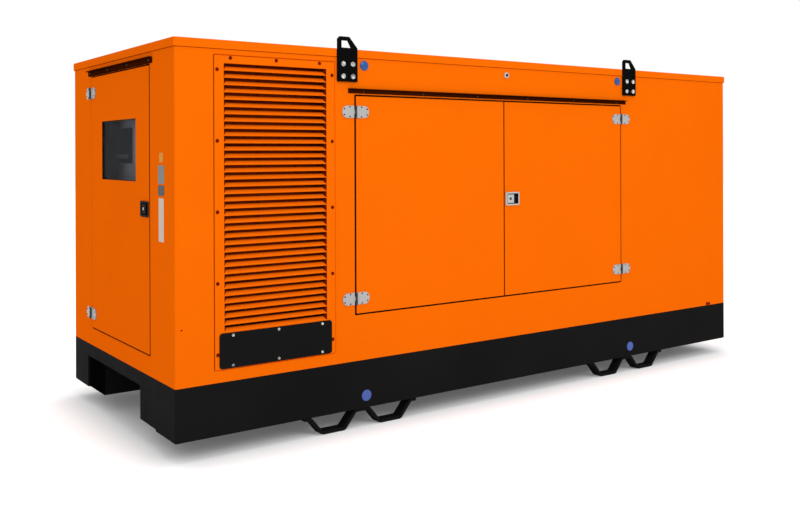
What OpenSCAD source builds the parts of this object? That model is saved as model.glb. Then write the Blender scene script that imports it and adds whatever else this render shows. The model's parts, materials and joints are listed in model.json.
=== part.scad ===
// Diesel generating set in a silenced canopy on a base frame with fork loops.
// Millimetres, +Z up. X runs along the set, control end at -X, the seen long side faces -Y.
// Inside the modules x is counted from the control end, y from the seen side, z from the base's underside.

/* [Overall] */
// length of canopy and base
body_l = 3820; // [2800:10:4800]
// width of canopy and base
body_w = 1440; // [1200:10:1900]
// underside of the base to top of the roof
body_h = 1735; // [1500:5:2200]
// thickness of the lined canopy walls
wall_t = 50; // [40:1:70]

/* [Base] */
// height of the base
base_h = 234; // [180:1:320]
// width of a corner leg seen from the end
leg_w = 228; // [160:1:300]
// width of the inner box beside a leg
sump_w = 234; // [150:1:300]
// how far the inner box stands back from the base's end
sump_back = 12; // [2:1:60]
// depth of the deck between the legs
deck_t = 68; // [50:1:110]

/* [Fork loops] */
// height of the loops under the base
loop_h = 91; // [75:1:140]
// thickness of the bent bar
loop_bar_t = 15; // [6:1:20]
// width of the bent bar
loop_bar_w = 61; // [40:1:120]
// how far the bar stands in from the base's face
loop_in = 7; // [5:1:60]
// inside width of a loop at its top
loop_top_w = 243; // [200:1:300]
// inside width of a loop at its foot
loop_foot_w = 116; // [90:1:180]
// length of the flange between a pair of loops
loop_mid = 85; // [40:1:140]
// length of the outer flanges
loop_end = 36; // [25:1:90]
// inner radius of the bends
loop_bend = 12; // [8:1:20]
// distance between the two loop pairs
loop_pitch = 1910; // [1200:10:2400]

/* [Roof] */
// depth of the roof's edge
roof_t = 39; // [30:1:70]
// overhang of the roof
roof_over = 5; // [2:1:20]
// length of the air outlet in the roof
vent_l = 520; // [300:10:600]
// width of the air outlet in the roof
vent_w = 1000; // [600:10:1100]
// outlet's distance from the radiator end
vent_back = 190; // [120:10:240]
// depth of the outlet grille
vent_t = 18; // [10:1:25]
// number of gaps in the outlet grille
vent_gaps = 9; // [5:1:14]

/* [Louvre panel] */
// panel's left edge
louvre_x = 181; // [120:1:260]
// panel's width
louvre_w = 617; // [450:1:680]
// panel's lower edge
louvre_z = 287; // [260:1:340]
// panel's upper edge below the roof's edge
louvre_head = 26; // [15:1:120]
// panel's depth
louvre_t = 25; // [21:1:35]
// distance from blade to blade
louvre_pitch = 32; // [28:0.5:36]
// foot of the second blade over the base's underside
louvre_first = 482; // [460:1:520]
// how far a blade's top edge stands back
louvre_lean = 16; // [10:1:18]
// height of the opening over a blade
louvre_open = 13; // [6:1:16]
// thickness of a blade
blade_t = 2.5; // [1.5:0.1:4]
// plain margin left and right of the blades
louvre_margin = 47; // [30:1:80]
// plain margin over the blades
louvre_brow = 36; // [25:1:80]
// seam round the panel
seam = 2; // [1:0.5:4]

/* [Foot cover] */
// width of the cover plate at the panel's foot
cover_w = 573; // [400:1:590]
// height of the cover plate
cover_h = 157; // [100:1:160]
// thickness of the cover plate
cover_t = 4; // [2:0.5:8]
// corner radius of the cover plate
cover_r = 15; // [5:1:30]

/* [Lifting lugs] */
// left edge of the first lug
lug_x = 809; // [805:1:850]
// gap between the doorway's line and the second lug
lug_clear = 9; // [5:1:40]
// width of a lug
lug_w = 111; // [80:1:130]
// thickness of a lug
lug_t = 12; // [8:1:16]
// height of a lug above the roof
lug_rise = 58; // [50:1:90]
// length of a lug below the roof's top
lug_drop = 157; // [120:1:200]
// side of the eye left uncut
eye_margin = 21; // [14:1:24]

/* [Side doors] */
// doorway's left edge
door_x = 910; // [900:1:950]
// doorway's right edge from the radiator end
door_tail = 1009; // [850:1:1200]
// doorway's lower edge
door_z = 455; // [400:1:520]
// doorway's upper edge below the roof's edge
door_head = 178; // [170:1:260]
// left door's share of the doorway
door_share = 0.505; // [0.4:0.005:0.6]
// gap round the doors
door_gap = 7; // [7:0.5:10]
// thickness of the doors
door_t = 44; // [30:1:44]
// depth of the stop frame behind the doors
stop_t = 10; // [5:1:20]
// width of the stop frame
stop_w = 25; // [15:1:40]
// width of the post between the doors
post_w = 80; // [50:1:120]

/* [Drip rails] */
// how far the rails stand out
drip_out = 18; // [10:1:25]
// height of the rails
drip_h = 23; // [15:1:30]
// thickness of the rails' angle section
drip_t = 4; // [3:0.5:6]
// gap between a doorway and the rail over it
drip_gap = 6; // [6:1:14]
// rail's overlength past the doorway, each side
drip_past = 38; // [20:1:60]

/* [End door] */
// width of the wall beside the doorway
end_jamb = 293; // [200:1:320]
// doorway's lower edge
end_door_z = 322; // [290:1:400]
// doorway's upper edge below the roof's edge
end_head = 53; // [45:1:120]
// window's width
window_w = 494; // [300:1:560]
// window's height
window_h = 294; // [200:1:300]
// window's upper edge below the doorway's
window_head = 241; // [120:1:300]
// thickness of the window's glass
glass_t = 6; // [4:0.5:10]
// how far the glass stands back
glass_back = 8; // [4:1:20]

/* [Hinges] */
// length of a leaf
leaf_w = 76; // [50:1:90]
// height of a leaf
leaf_h = 70; // [50:1:90]
// thickness of a leaf
leaf_t = 4; // [3:0.5:6]
// radius of the knuckle
knuckle_r = 7; // [6:0.5:8]
// hinge's middle below the doorway's top, side doors
hinge_top = 83; // [60:1:140]
// hinge's middle above the doorway's foot, side doors
hinge_foot = 80; // [60:1:140]
// play between the knuckles
knuckle_play = 0.5; // [0.3:0.1:0.8]

/* [Latches] */
// width of a latch
latch_w = 100; // [80:1:120]
// height of a latch
latch_h = 72; // [60:1:90]
// distance of a latch from its door's free edge
latch_in = 4; // [3:1:30]
// thickness of a latch's rim
latch_rim = 5; // [3:0.5:8]
// depth of the cup behind the rim
cup_d = 24; // [18:1:30]
// height of a latch's middle
latch_z = 985; // [850:1:1050]
// width of the paddle
paddle_w = 46; // [35:1:55]
// thickness of the paddle
paddle_t = 4; // [3:0.5:6]

/* [Running gear] */
// middle line of crankshaft and alternator over the base's top
shaft_z = 470; // [420:5:520]
// where the alternator starts
alternator_x = 680; // [640:10:700]
// length of the alternator
alternator_l = 760; // [600:10:800]
// radius of the alternator
alternator_r = 270; // [200:5:280]
// width of the engine block
engine_w = 400; // [340:10:460]
// number of cylinders
cylinders = 6; // [4:1:6]
// distance between the fan's hub and the radiator
fan_room = 150; // [120:5:200]
// radius of the fan
fan_r = 400; // [300:5:420]
// number of fan blades
fan_blades = 8; // [5:1:10]
// radiator's distance from the radiator end
radiator_back = 960; // [800:10:1100]
// radiator's distance from each side
radiator_side = 140; // [110:5:240]
// radiator's top below the roof's edge
radiator_head = 282; // [220:5:340]
// depth of the radiator
radiator_t = 130; // [90:5:150]
// radius of the silencer
silencer_r = 170; // [120:5:190]
// radius of the exhaust pipe
pipe_r = 50; // [35:1:60]
// radius of the air cleaner
cleaner_r = 110; // [80:5:115]

/* [Hidden] */
$fn = 48;
eps = 1;
wall_top = body_h - roof_t;
bend_steps = 6;
loop_drop = loop_h - loop_bar_t;
loop_slope = atan2(loop_drop, (loop_top_w - loop_foot_w) / 2);
x0 = -(body_l + roof_over - drip_out) / 2;
y0 = -body_w / 2;
mid_y = body_w / 2;
lining = wall_t + stop_t;
panel_seat = 24;
louvre_h = wall_top - louvre_head - louvre_z;
louvre_slots_x = louvre_x + louvre_margin;
louvre_slots_w = louvre_w - 2 * louvre_margin;
louvre_slots_z = louvre_first - louvre_pitch + 1;
louvre_count = floor((louvre_z + louvre_h - louvre_brow - louvre_first) / louvre_pitch) + 1;
louvre_slots_h = louvre_count * louvre_pitch - 1;
door_end = body_l - door_tail;
door_w = door_end - door_x;
door_split = door_x + door_share * door_w;
door_top = wall_top - door_head;
lug_places = [lug_x, door_end + lug_clear];
end_x = end_jamb;
end_door_w = body_w - 2 * end_jamb;
end_top = wall_top - end_head;
window_x = (body_w - window_w) / 2;
window_z = end_top - window_head - window_h;
hinge_out = knuckle_r + 0.5;
knuckle_h = leaf_h / 3;
side_latch_x = door_split + door_gap / 2 + latch_in;
end_latch_x = end_x + end_door_w - door_gap - latch_in - latch_w;
latch_wall = 4;
cup_in = 2 * latch_wall;
cup_w = latch_w - 2 * cup_in;
cup_h = latch_h - 2 * cup_in;
paddle_in = 16;
pin_play = 0.3;
vent_x = body_l - vent_back - vent_l;
vent_y = (body_w - vent_w) / 2;
shaft = base_h + shaft_z;
engine_x = alternator_x + alternator_l;
radiator_x = body_l - radiator_back;
fan_x = radiator_x - fan_room;
engine_l = fan_x - 150 - engine_x;
fan_z = shaft + 140;
radiator_top = wall_top - radiator_head;
silencer_x = radiator_x + 560;
silencer_z = base_h + 560;
pipe_z = radiator_top + 130;
flange_r = alternator_r + 20;
terminal_top = shaft + alternator_r + 170;
bell_l = 120;
gear_case_l = 60;
block_x = engine_x + bell_l;
block_end = engine_x + engine_l - gear_case_l;
cylinder_pitch = (block_end - block_x - 10) / cylinders;
head_z = shaft + 330;
pulley_end = engine_x + engine_l + 40;
exhaust_y = mid_y + engine_w / 2 + 75;
manifold_z = shaft + 250;
turbo_x = engine_x + engine_l / 2;
turbo_z = shaft + 380;
turbo_r = 85;
turbo_l = 4 * pipe_r;
down_x = turbo_x + pipe_r;
outlet_y = mid_y - 300;
hose_r = pipe_r - 5;
hose_x = turbo_x - hose_r - 5;
hose_z = terminal_top + cleaner_r + 10;
set_rail_y = 260;
set_rail_w = 100;
set_rail_h = 110;
set_rail_t = 10;
set_rail_top = base_h + set_rail_h;
mount_top = shaft - 60;

rail_front();
rail_rear();
deck();
fork_loops_front();
fork_loops_rear();
front_wall();
rear_wall();
control_end_wall();
radiator_end_wall();
roof();
roof_grille();
front_louvre_panel();
rear_louvre_panel();
front_foot_cover();
rear_foot_cover();
lugs_front();
lugs_rear();
drip_rail_front();
drip_rail_rear();
drip_rail_end();
left_door();
right_door();
end_door();
end_window();
rear_doors();
jamb_hinges();
left_door_hinges();
right_door_hinges();
end_door_hinges();
rear_hinges();
side_latch();
side_paddle();
end_latch();
end_paddle();
rear_latch();
set_rails();
alternator();
engine();
fan();
radiator();
exhaust();
silencer();
air_cleaner();
battery();
control_cabinet();

// Sets the model on the floor with the bounding box's foot centred on the origin.
module place() translate([x0, y0, loop_h]) children();

// Carries a piece of the seen side over to the far side.
module on_rear() translate([0, body_w, 0]) mirror([0, 1, 0]) children();

// Turns a piece drawn on the seen side onto the control end, x counted from the far corner.
module on_end() translate([0, body_w, 0]) rotate([0, 0, -90]) children();

// Block between two corners.
module block(x1, x2, y1, y2, z1, z2) translate([x1, y1, z1]) cube([x2 - x1, y2 - y1, z2 - z1]);

// Stands an outline drawn in x and z on the face at depth y, thickness outwards.
module plate(y, t) translate([0, y, 0]) rotate([90, 0, 0]) linear_extrude(t) children();

// Rectangle with round corners.
module round_rect(w, h, r) {
    translate([r, 0]) square([w - 2 * r, h]);
    translate([0, r]) square([w, h - 2 * r]);
    for (x = [r, w - r], y = [r, h - r]) translate([x, y]) circle(r);
}

// Base
module rail() {
    block(0, body_l, 0, leg_w, 0, base_h);
    block(sump_back, body_l - sump_back, leg_w - eps, leg_w + sump_w, 0, base_h - deck_t);
}

module rail_front() color("#1c1c1d") place() rail();

module rail_rear() color("#1c1c1d") place() on_rear() rail();

module deck() color("#1c1c1d") place()
    block(0, body_l, leg_w, body_w - leg_w, base_h - deck_t, base_h);

// One face's points round a bend, for a corner of the upper face, the heading before it and the turn.
function bend_points(corner, heading, turn, upper) =
    let (side = sign(turn),
         r_upper = side > 0 ? loop_bend : loop_bend + loop_bar_t,
         r = upper ? r_upper : 2 * loop_bend + loop_bar_t - r_upper,
         middle = corner - r_upper * tan(abs(turn) / 2) * [cos(heading), sin(heading)]
                  + side * r_upper * [-sin(heading), cos(heading)])
    [for (i = [0 : bend_steps]) let (a = heading - 90 * side + turn * i / bend_steps)
        middle + r * [cos(a), sin(a)]];

// The four bends of a loop with its middle at x: corner, heading before it and turn.
function loop_bends(x) = [
    [[x - loop_top_w / 2, 0], 0, -loop_slope],
    [[x - loop_foot_w / 2, -loop_drop], -loop_slope, loop_slope],
    [[x + loop_foot_w / 2, -loop_drop], 0, loop_slope],
    [[x + loop_top_w / 2, 0], loop_slope, -loop_slope]];

// One face's points along a pair of loops.
function pair_points(upper) = [for (s = [-1, 1], b = loop_bends(s * (loop_top_w + loop_mid) / 2),
                                    p = bend_points(b[0], b[1], b[2], upper)) p];

function backwards(list) = [for (i = [len(list) - 1 : -1 : 0]) list[i]];

module loop_pair() {
    half = loop_top_w + loop_mid / 2 + loop_end;
    plate(loop_in + loop_bar_w, loop_bar_w)
        polygon(concat([[-half, -loop_bar_t], [-half, 0]], pair_points(true),
                       [[half, 0], [half, -loop_bar_t]], backwards(pair_points(false))));
}

module fork_loops() for (s = [-1, 1]) translate([body_l / 2 + s * loop_pitch / 2, 0, 0]) loop_pair();

module fork_loops_front() color("#19191a") place() fork_loops();

module fork_loops_rear() color("#19191a") place() on_rear() fork_loops();

// Walls
module side_wall() {
    difference() {
        block(0, body_l, 0, wall_t, base_h, wall_top);
        block(louvre_x, louvre_x + louvre_w, -eps, louvre_t, louvre_z, louvre_z + louvre_h);
        block(louvre_x + panel_seat, louvre_x + louvre_w - panel_seat, 0, wall_t + eps,
              louvre_z + panel_seat, louvre_z + louvre_h - panel_seat);
        block(door_x, door_end, -eps, wall_t + eps, door_z, door_top);
    }
    difference() {
        block(door_x - stop_w, door_end + stop_w, wall_t, lining, door_z - stop_w, door_top + stop_w);
        block(door_x + stop_w, door_split - post_w / 2, wall_t - eps, lining + eps,
              door_z + stop_w, door_top - stop_w);
        block(door_split + post_w / 2, door_end - stop_w, wall_t - eps, lining + eps,
              door_z + stop_w, door_top - stop_w);
    }
}

module front_wall() color("#f26a0a") place() side_wall();

module rear_wall() color("#f26a0a") place() on_rear() side_wall();

module control_end_wall() color("#f26a0a") place() on_end() {
    difference() {
        block(wall_t, body_w - wall_t, 0, wall_t, base_h, wall_top);
        block(end_x, end_x + end_door_w, -eps, wall_t + eps, end_door_z, end_top);
    }
    difference() {
        block(end_x - stop_w, end_x + end_door_w + stop_w, wall_t, lining,
              end_door_z - stop_w, end_top + stop_w);
        block(end_x + stop_w, end_x + end_door_w - stop_w, wall_t - eps, lining + eps,
              end_door_z + stop_w, end_top - stop_w);
    }
}

module radiator_end_wall() color("#f26a0a") place()
    block(body_l - wall_t, body_l, wall_t, body_w - wall_t, base_h, wall_top);

// Roof
module lug_notches() for (x = lug_places)
    block(x - seam, x + lug_w + seam, -roof_over - eps, 0, wall_top - eps, body_h + eps);

module roof() color("#f26a0a") place() difference() {
    block(-roof_over, body_l + roof_over, -roof_over, body_w + roof_over, wall_top, body_h);
    lug_notches();
    on_rear() lug_notches();
    block(vent_x, vent_x + vent_l, vent_y, vent_y + vent_w, body_h - vent_t, body_h + eps);
    block(vent_x + panel_seat, vent_x + vent_l - panel_seat,
          vent_y + panel_seat, vent_y + vent_w - panel_seat, wall_top - eps, body_h);
}

module roof_grille() color("#202122") place() {
    gap = (vent_l - 2 * panel_seat) / vent_gaps;
    difference() {
        block(vent_x + seam, vent_x + vent_l - seam, vent_y + seam, vent_y + vent_w - seam,
              body_h - vent_t, body_h);
        for (i = [0 : vent_gaps - 1])
            block(vent_x + panel_seat + i * gap + gap / 4, vent_x + panel_seat + (i + 1) * gap - gap / 4,
                  vent_y + 2 * panel_seat, vent_y + vent_w - 2 * panel_seat,
                  body_h - vent_t - eps, body_h + eps);
    }
}

// Louvre panel
module louvre_blade(z) translate([louvre_slots_x - 4, 0, 0]) rotate([90, 0, 90])
    linear_extrude(louvre_slots_w + 8)
        polygon([[0, z - louvre_pitch], [blade_t, z - louvre_pitch],
                 [louvre_lean + blade_t, z - louvre_open], [louvre_lean, z - louvre_open]]);

module louvre_panel() {
    difference() {
        block(louvre_x + seam, louvre_x + louvre_w - seam, 0, louvre_t,
              louvre_z + seam, louvre_z + louvre_h - seam);
        block(louvre_slots_x, louvre_slots_x + louvre_slots_w, -eps, louvre_t + eps,
              louvre_slots_z, louvre_slots_z + louvre_slots_h);
    }
    for (i = [0 : louvre_count - 1]) louvre_blade(louvre_first + i * louvre_pitch);
}

module front_louvre_panel() color("#f26a0a") place() louvre_panel();

module rear_louvre_panel() color("#f26a0a") place() on_rear() louvre_panel();

module foot_cover() plate(0, cover_t)
    translate([louvre_x + (louvre_w - cover_w) / 2, louvre_z + 2 * seam])
        round_rect(cover_w, cover_h, cover_r);

module front_foot_cover() color("#202022") place() foot_cover();

module rear_foot_cover() color("#202022") place() on_rear() foot_cover();

// Lugs
module lug(x) translate([x, 0, body_h]) plate(0, lug_t) difference() {
    polygon([[0, -lug_drop], [lug_w, -lug_drop], [lug_w, 5], [lug_w * 0.585, lug_rise],
             [12, lug_rise], [0, lug_rise - 12]]);
    polygon([[eye_margin, 5], [lug_w * 0.69, 5], [lug_w * 0.52, lug_rise - eye_margin + 2],
             [eye_margin, lug_rise - eye_margin + 2]]);
}

module lugs() for (x = lug_places) lug(x);

module lugs_front() color("#1a1a1b") place() lugs();

module lugs_rear() color("#1a1a1b") place() on_rear() lugs();

// Drip rails
module drip_rail(x, w, z) {
    foot = z + drip_gap;
    top = foot + drip_h;
    block(x - drip_past, x + w + drip_past, -drip_t, 0, foot, top);
    block(x - drip_past, x + w + drip_past, -drip_out, -drip_t + eps, top - drip_t, top);
}

module drip_rail_front() color("#1d1d1e") place() drip_rail(door_x, door_w, door_top);

module drip_rail_rear() color("#1d1d1e") place() on_rear() drip_rail(door_x, door_w, door_top);

module drip_rail_end() color("#1d1d1e") place() on_end() drip_rail(end_x, end_door_w, end_top);

// Doors
module door_panel(x1, x2, z1, z2) difference() {
    block(x1, x2, 0, door_t, z1, z2);
    block(x1 + stop_w, x2 - stop_w, door_t - seam, door_t + eps, z1 + stop_w, z2 - stop_w);
}

module left_leaf()
    door_panel(door_x + door_gap, door_split - door_gap / 2, door_z + door_gap, door_top - door_gap);

module right_leaf() difference() {
    door_panel(door_split + door_gap / 2, door_end - door_gap, door_z + door_gap, door_top - door_gap);
    latch_pocket(side_latch_x, latch_z);
}

module left_door() color("#f26a0a") place() left_leaf();

module right_door() color("#f26a0a") place() right_leaf();

module rear_doors() color("#f26a0a") place() on_rear() {
    left_leaf();
    right_leaf();
}

module end_door() color("#f26a0a") place() on_end() difference() {
    door_panel(end_x + door_gap, end_x + end_door_w - door_gap, end_door_z + door_gap, end_top - door_gap);
    block(window_x, window_x + window_w, -eps, door_t + eps, window_z, window_z + window_h);
    latch_pocket(end_latch_x, latch_z);
}

module end_window() color("#55616a") place() on_end()
    block(window_x, window_x + window_w, glass_back, glass_back + glass_t, window_z, window_z + window_h);

// Hinges: the leaf lies left of the knuckle's middle line, which is x = 0.
module leaf_outline() {
    translate([-leaf_w + leaf_h / 4, -leaf_h / 2]) square([leaf_w - leaf_h / 4 - knuckle_r - 1, leaf_h]);
    translate([-leaf_w, -leaf_h / 4]) square([leaf_w - knuckle_r - 1, leaf_h / 2]);
    for (z = [-leaf_h / 4, leaf_h / 4])
        translate([-leaf_w + leaf_h / 4, z]) circle(leaf_h / 4);
}

module knuckle(z, h) {
    translate([0, -hinge_out, z]) cylinder(r = knuckle_r, h = h);
    block(-knuckle_r - 1 - eps, 0, -leaf_t, 0, z, z + h);
}

module jamb_leaf() {
    plate(0, leaf_t) leaf_outline();
    knuckle(-knuckle_h / 2, knuckle_h);
}

module door_leaf() mirror([1, 0, 0]) {
    plate(0, leaf_t) leaf_outline();
    knuckle(knuckle_h / 2 + knuckle_play, knuckle_h - knuckle_play);
    knuckle(-leaf_h / 2, knuckle_h - knuckle_play);
}

module side_hinge_heights() for (z = [door_z + hinge_foot, door_top - hinge_top])
    translate([0, 0, z]) children();

module end_hinge_heights() for (z = [end_door_z + hinge_foot, end_top - hinge_top])
    translate([0, 0, z]) children();

module side_jamb_leaves() side_hinge_heights() {
    translate([door_x + door_gap / 2, 0, 0]) jamb_leaf();
    translate([door_end - door_gap / 2, 0, 0]) mirror([1, 0, 0]) jamb_leaf();
}

module left_leaves() side_hinge_heights() translate([door_x + door_gap / 2, 0, 0]) door_leaf();

module right_leaves() side_hinge_heights()
    translate([door_end - door_gap / 2, 0, 0]) mirror([1, 0, 0]) door_leaf();

module jamb_hinges() color("#8d9196") place() {
    side_jamb_leaves();
    on_end() end_hinge_heights() translate([end_x + door_gap / 2, 0, 0]) jamb_leaf();
}

module left_door_hinges() color("#8d9196") place() left_leaves();

module right_door_hinges() color("#8d9196") place() right_leaves();

module end_door_hinges() color("#8d9196") place() on_end() end_hinge_heights()
    translate([end_x + door_gap / 2, 0, 0]) door_leaf();

module rear_hinges() color("#8d9196") place() on_rear() {
    side_jamb_leaves();
    left_leaves();
    right_leaves();
}

// Latches: x is the left edge, the paddle turns about its left edge.
module latch_pocket(x, z) block(x + latch_wall, x + latch_w - latch_wall, -eps, cup_d,
                                z - latch_h / 2 + latch_wall, z + latch_h / 2 - latch_wall);

module latch_body(x, z) difference() {
    union() {
        plate(0, latch_rim) translate([x, z - latch_h / 2]) round_rect(latch_w, latch_h, cup_in);
        latch_pocket(x, z);
    }
    block(x + cup_in, x + cup_in + cup_w, -latch_rim - eps, cup_d - latch_wall,
          z - cup_h / 2, z + cup_h / 2);
}

module latch_paddle(x, z) translate([x + paddle_in, 0, z]) {
    cylinder(r = paddle_t / 2 + 1, h = cup_h - 2 * pin_play, center = true);
    block(0, paddle_w, -paddle_t / 2, paddle_t / 2, -cup_h / 2 + 5, cup_h / 2 - 5);
}

module side_latch() color("#a9adb1") place() latch_body(side_latch_x, latch_z);

module side_paddle() color("#b4b8bc") place() latch_paddle(side_latch_x, latch_z);

module end_latch() color("#1f1f20") place() on_end() latch_body(end_latch_x, latch_z);

module end_paddle() color("#28282a") place() on_end() latch_paddle(end_latch_x, latch_z);

module rear_latch() color("#a9adb1") place() on_rear() {
    latch_body(side_latch_x, latch_z);
    latch_paddle(side_latch_x, latch_z);
}

// Running gear
// Round bar along x from one place to another.
module bar_x(x1, x2, y, z, r) translate([x1, y, z]) rotate([0, 90, 0]) cylinder(r = r, h = x2 - x1);

// Round bar along y from one place to another.
module bar_y(x, y1, y2, z, r) translate([x, y1, z]) rotate([-90, 0, 0]) cylinder(r = r, h = y2 - y1);

// Upright round bar.
module bar_z(x, y, z1, z2, r) translate([x, y, z1]) cylinder(r = r, h = z2 - z1);

// Block with its width centred on y.
module block_at(x1, x2, y, w, z1, z2) block(x1, x2, y - w / 2, y + w / 2, z1, z2);

module set_rail() {
    x1 = alternator_x - 60;
    x2 = fan_x - 40;
    difference() {
        block_at(x1, x2, 0, set_rail_w, base_h, set_rail_top);
        block(x1 - eps, x2 + eps, -set_rail_w, set_rail_w / 2 - set_rail_t,
              base_h + set_rail_t, set_rail_top - set_rail_t);
    }
}

module set_rails() color("#2a2b2c") place() translate([0, mid_y, 0]) {
    translate([0, -set_rail_y, 0]) set_rail();
    mirror([0, 1, 0]) translate([0, -set_rail_y, 0]) set_rail();
}

module alternator() color("#3d5a78") place() {
    flange_l = 60;
    nose_l = 40;
    nose_step = 45;
    rib_pitch = 130;
    rib_t = 14;
    rib_out = 10;
    box_x = alternator_x + 90;
    box_w = 400;
    foot_w = 80;
    shell_end = engine_x - flange_l;
    bar_x(alternator_x, shell_end, mid_y, shaft, alternator_r);
    bar_x(alternator_x - nose_l, alternator_x + eps, mid_y, shaft, alternator_r - nose_step);
    bar_x(shell_end - eps, engine_x, mid_y, shaft, flange_r);
    for (x = [alternator_x + rib_pitch : rib_pitch : shell_end - rib_pitch])
        bar_x(x, x + rib_t, mid_y, shaft, alternator_r + rib_out);
    block_at(box_x, box_x + box_w, mid_y, box_w, shaft, terminal_top);
    for (s = [-1, 1])
        block_at(alternator_x + foot_w, shell_end - flange_l, mid_y + s * set_rail_y, foot_w,
                 set_rail_top, mount_top);
}

module engine() color("#3f4a4a") place() {
    near = mid_y - engine_w / 2;
    block_foot = shaft - 150;
    pan_in = 60;
    pan_z = shaft - 330;
    head_w = 300;
    head_h = 80;
    rocker_w = 190;
    rocker_h = 70;
    gear_end = engine_x + engine_l - 20;
    foot_l = 140;
    foot_w = 110;
    foot_y = set_rail_y - 15;
    filter_r = 45;
    filter_x = block_x + 390;
    filter_top = shaft + 240;
    starter_r = 62;
    bar_x(engine_x, block_x + eps, mid_y, shaft, flange_r);
    block_at(block_x, block_end, mid_y, engine_w, block_foot, head_z);
    block_at(block_x + pan_in, block_end - pan_in, mid_y, engine_w - 2 * pan_in, pan_z, block_foot + eps);
    block_at(block_x + 20, block_end - 20, mid_y, head_w, head_z - eps, head_z + head_h);
    for (i = [0 : cylinders - 1])
        block_at(block_x + 30 + i * cylinder_pitch, block_x + 10 + (i + 1) * cylinder_pitch, mid_y, rocker_w,
                 head_z + head_h - eps, head_z + head_h + rocker_h);
    block_at(block_end - eps, gear_end, mid_y, engine_w + 30, shaft - 130, head_z - 20);
    bar_x(gear_end - eps, pulley_end, mid_y, shaft, 110);
    bar_x(gear_end - eps, pulley_end, mid_y, fan_z, 80);
    for (x = [block_x + 30, block_end - foot_l - 20], s = [-1, 1])
        block_at(x, x + foot_l, mid_y + s * foot_y, foot_w, set_rail_top, mount_top);
    block(filter_x - 60, filter_x + 170, near - 70, near + eps, filter_top - 30, filter_top + 30);
    for (x = [filter_x, filter_x + 110]) bar_z(x, near - 55, filter_top - 180, filter_top, filter_r);
    bar_x(block_x - eps, block_x + 250, near - 40, shaft + 40, starter_r);
}

module fan() color("#1d1e20") place() {
    hub_r = 60;
    blade_w = 110;
    vane_t = 8;
    vane_pitch = 35;
    tip_room = 10;
    bar_x(pulley_end, fan_x + hub_r, mid_y, fan_z, hub_r);
    for (i = [0 : fan_blades - 1])
        translate([fan_x + 10, mid_y, fan_z]) rotate([i * 360 / fan_blades, 0, 0]) translate([0, 0, 40])
            rotate([0, 0, vane_pitch]) translate([-vane_t / 2, -blade_w / 2, 0])
                cube([vane_t, blade_w, fan_r - 40 - tip_room]);
}

module radiator() color("#26282a") place() {
    shroud_l = 60;
    shroud_in = 60;
    ring_t = 10;
    ring_r = fan_r + 30;
    core_w = body_w - 2 * radiator_side;
    block_at(radiator_x, radiator_x + radiator_t, mid_y, core_w, base_h, radiator_top);
    difference() {
        union() {
            block_at(radiator_x - shroud_l, radiator_x + eps, mid_y, core_w - 2 * shroud_in,
                     base_h + 110, radiator_top - 40);
            bar_x(fan_x, radiator_x - shroud_l + eps, mid_y, fan_z, ring_r + ring_t);
        }
        bar_x(fan_x - eps, radiator_x - ring_t / 2, mid_y, fan_z, ring_r);
    }
}

module turbo() bar_x(turbo_x - turbo_l / 2, turbo_x + turbo_l / 2, exhaust_y, turbo_z, turbo_r);

module exhaust() color("#7a5a44") place() {
    stub_r = 32;
    block_side = mid_y + engine_w / 2;
    silencer_top = silencer_z + silencer_r;
    bar_x(block_x + 40, block_end - 60, exhaust_y, manifold_z, pipe_r);
    for (i = [0 : cylinders - 1])
        bar_y(block_x + 90 + i * cylinder_pitch, block_side, exhaust_y, manifold_z, stub_r);
    bar_z(turbo_x, exhaust_y, manifold_z, turbo_z, pipe_r);
    turbo();
    bar_z(down_x, exhaust_y, turbo_z, pipe_z, pipe_r);
    for (x = [down_x, silencer_x]) translate([x, exhaust_y, pipe_z]) sphere(pipe_r);
    bar_x(down_x, silencer_x, exhaust_y, pipe_z, pipe_r);
    bar_z(silencer_x, exhaust_y, silencer_top, pipe_z, pipe_r);
    bar_z(silencer_x, outlet_y, silencer_top, wall_top - 40, pipe_r + 10);
}

module silencer() color("#6a6d70") place() {
    half = 480;
    cradle_y = 400;
    cradle_w = 50;
    cradle_l = 120;
    bar_y(silencer_x, mid_y - half, mid_y + half, silencer_z, silencer_r);
    for (y = [outlet_y, exhaust_y])
        bar_z(silencer_x, y, silencer_z, silencer_z + silencer_r, pipe_r + 25);
    for (s = [-1, 1])
        block_at(silencer_x - cradle_l / 2, silencer_x + cradle_l / 2, mid_y + s * cradle_y, cradle_w,
                 base_h, silencer_z);
}

module air_cleaner() color("#1f2021") place() {
    cleaner_x = alternator_x + 60;
    cleaner_l = 500;
    strap_w = 40;
    strap_d = 160;
    bar_x(cleaner_x, cleaner_x + cleaner_l, mid_y, hose_z, cleaner_r);
    for (x = [cleaner_x + 70, cleaner_x + 340])
        block_at(x, x + strap_w, mid_y, strap_d, terminal_top, hose_z - 10);
    bar_x(cleaner_x + cleaner_l - eps, hose_x, mid_y, hose_z, hose_r);
    for (y = [mid_y, exhaust_y]) translate([hose_x, y, hose_z]) sphere(hose_r);
    bar_y(hose_x, mid_y, exhaust_y, hose_z, hose_r);
    difference() {
        bar_z(hose_x, exhaust_y, turbo_z, hose_z, hose_r);
        turbo();
    }
}

module battery() color("#17181a") place() {
    x = door_x + 170;
    l = 330;
    w = 170;
    h = 220;
    y = 245;
    block_at(x, x + l, y, w, base_h, base_h + h);
    for (dx = [50, l - 50]) bar_z(x + dx, y - 45, base_h + h - eps, base_h + h + 18, 12);
}

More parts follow.
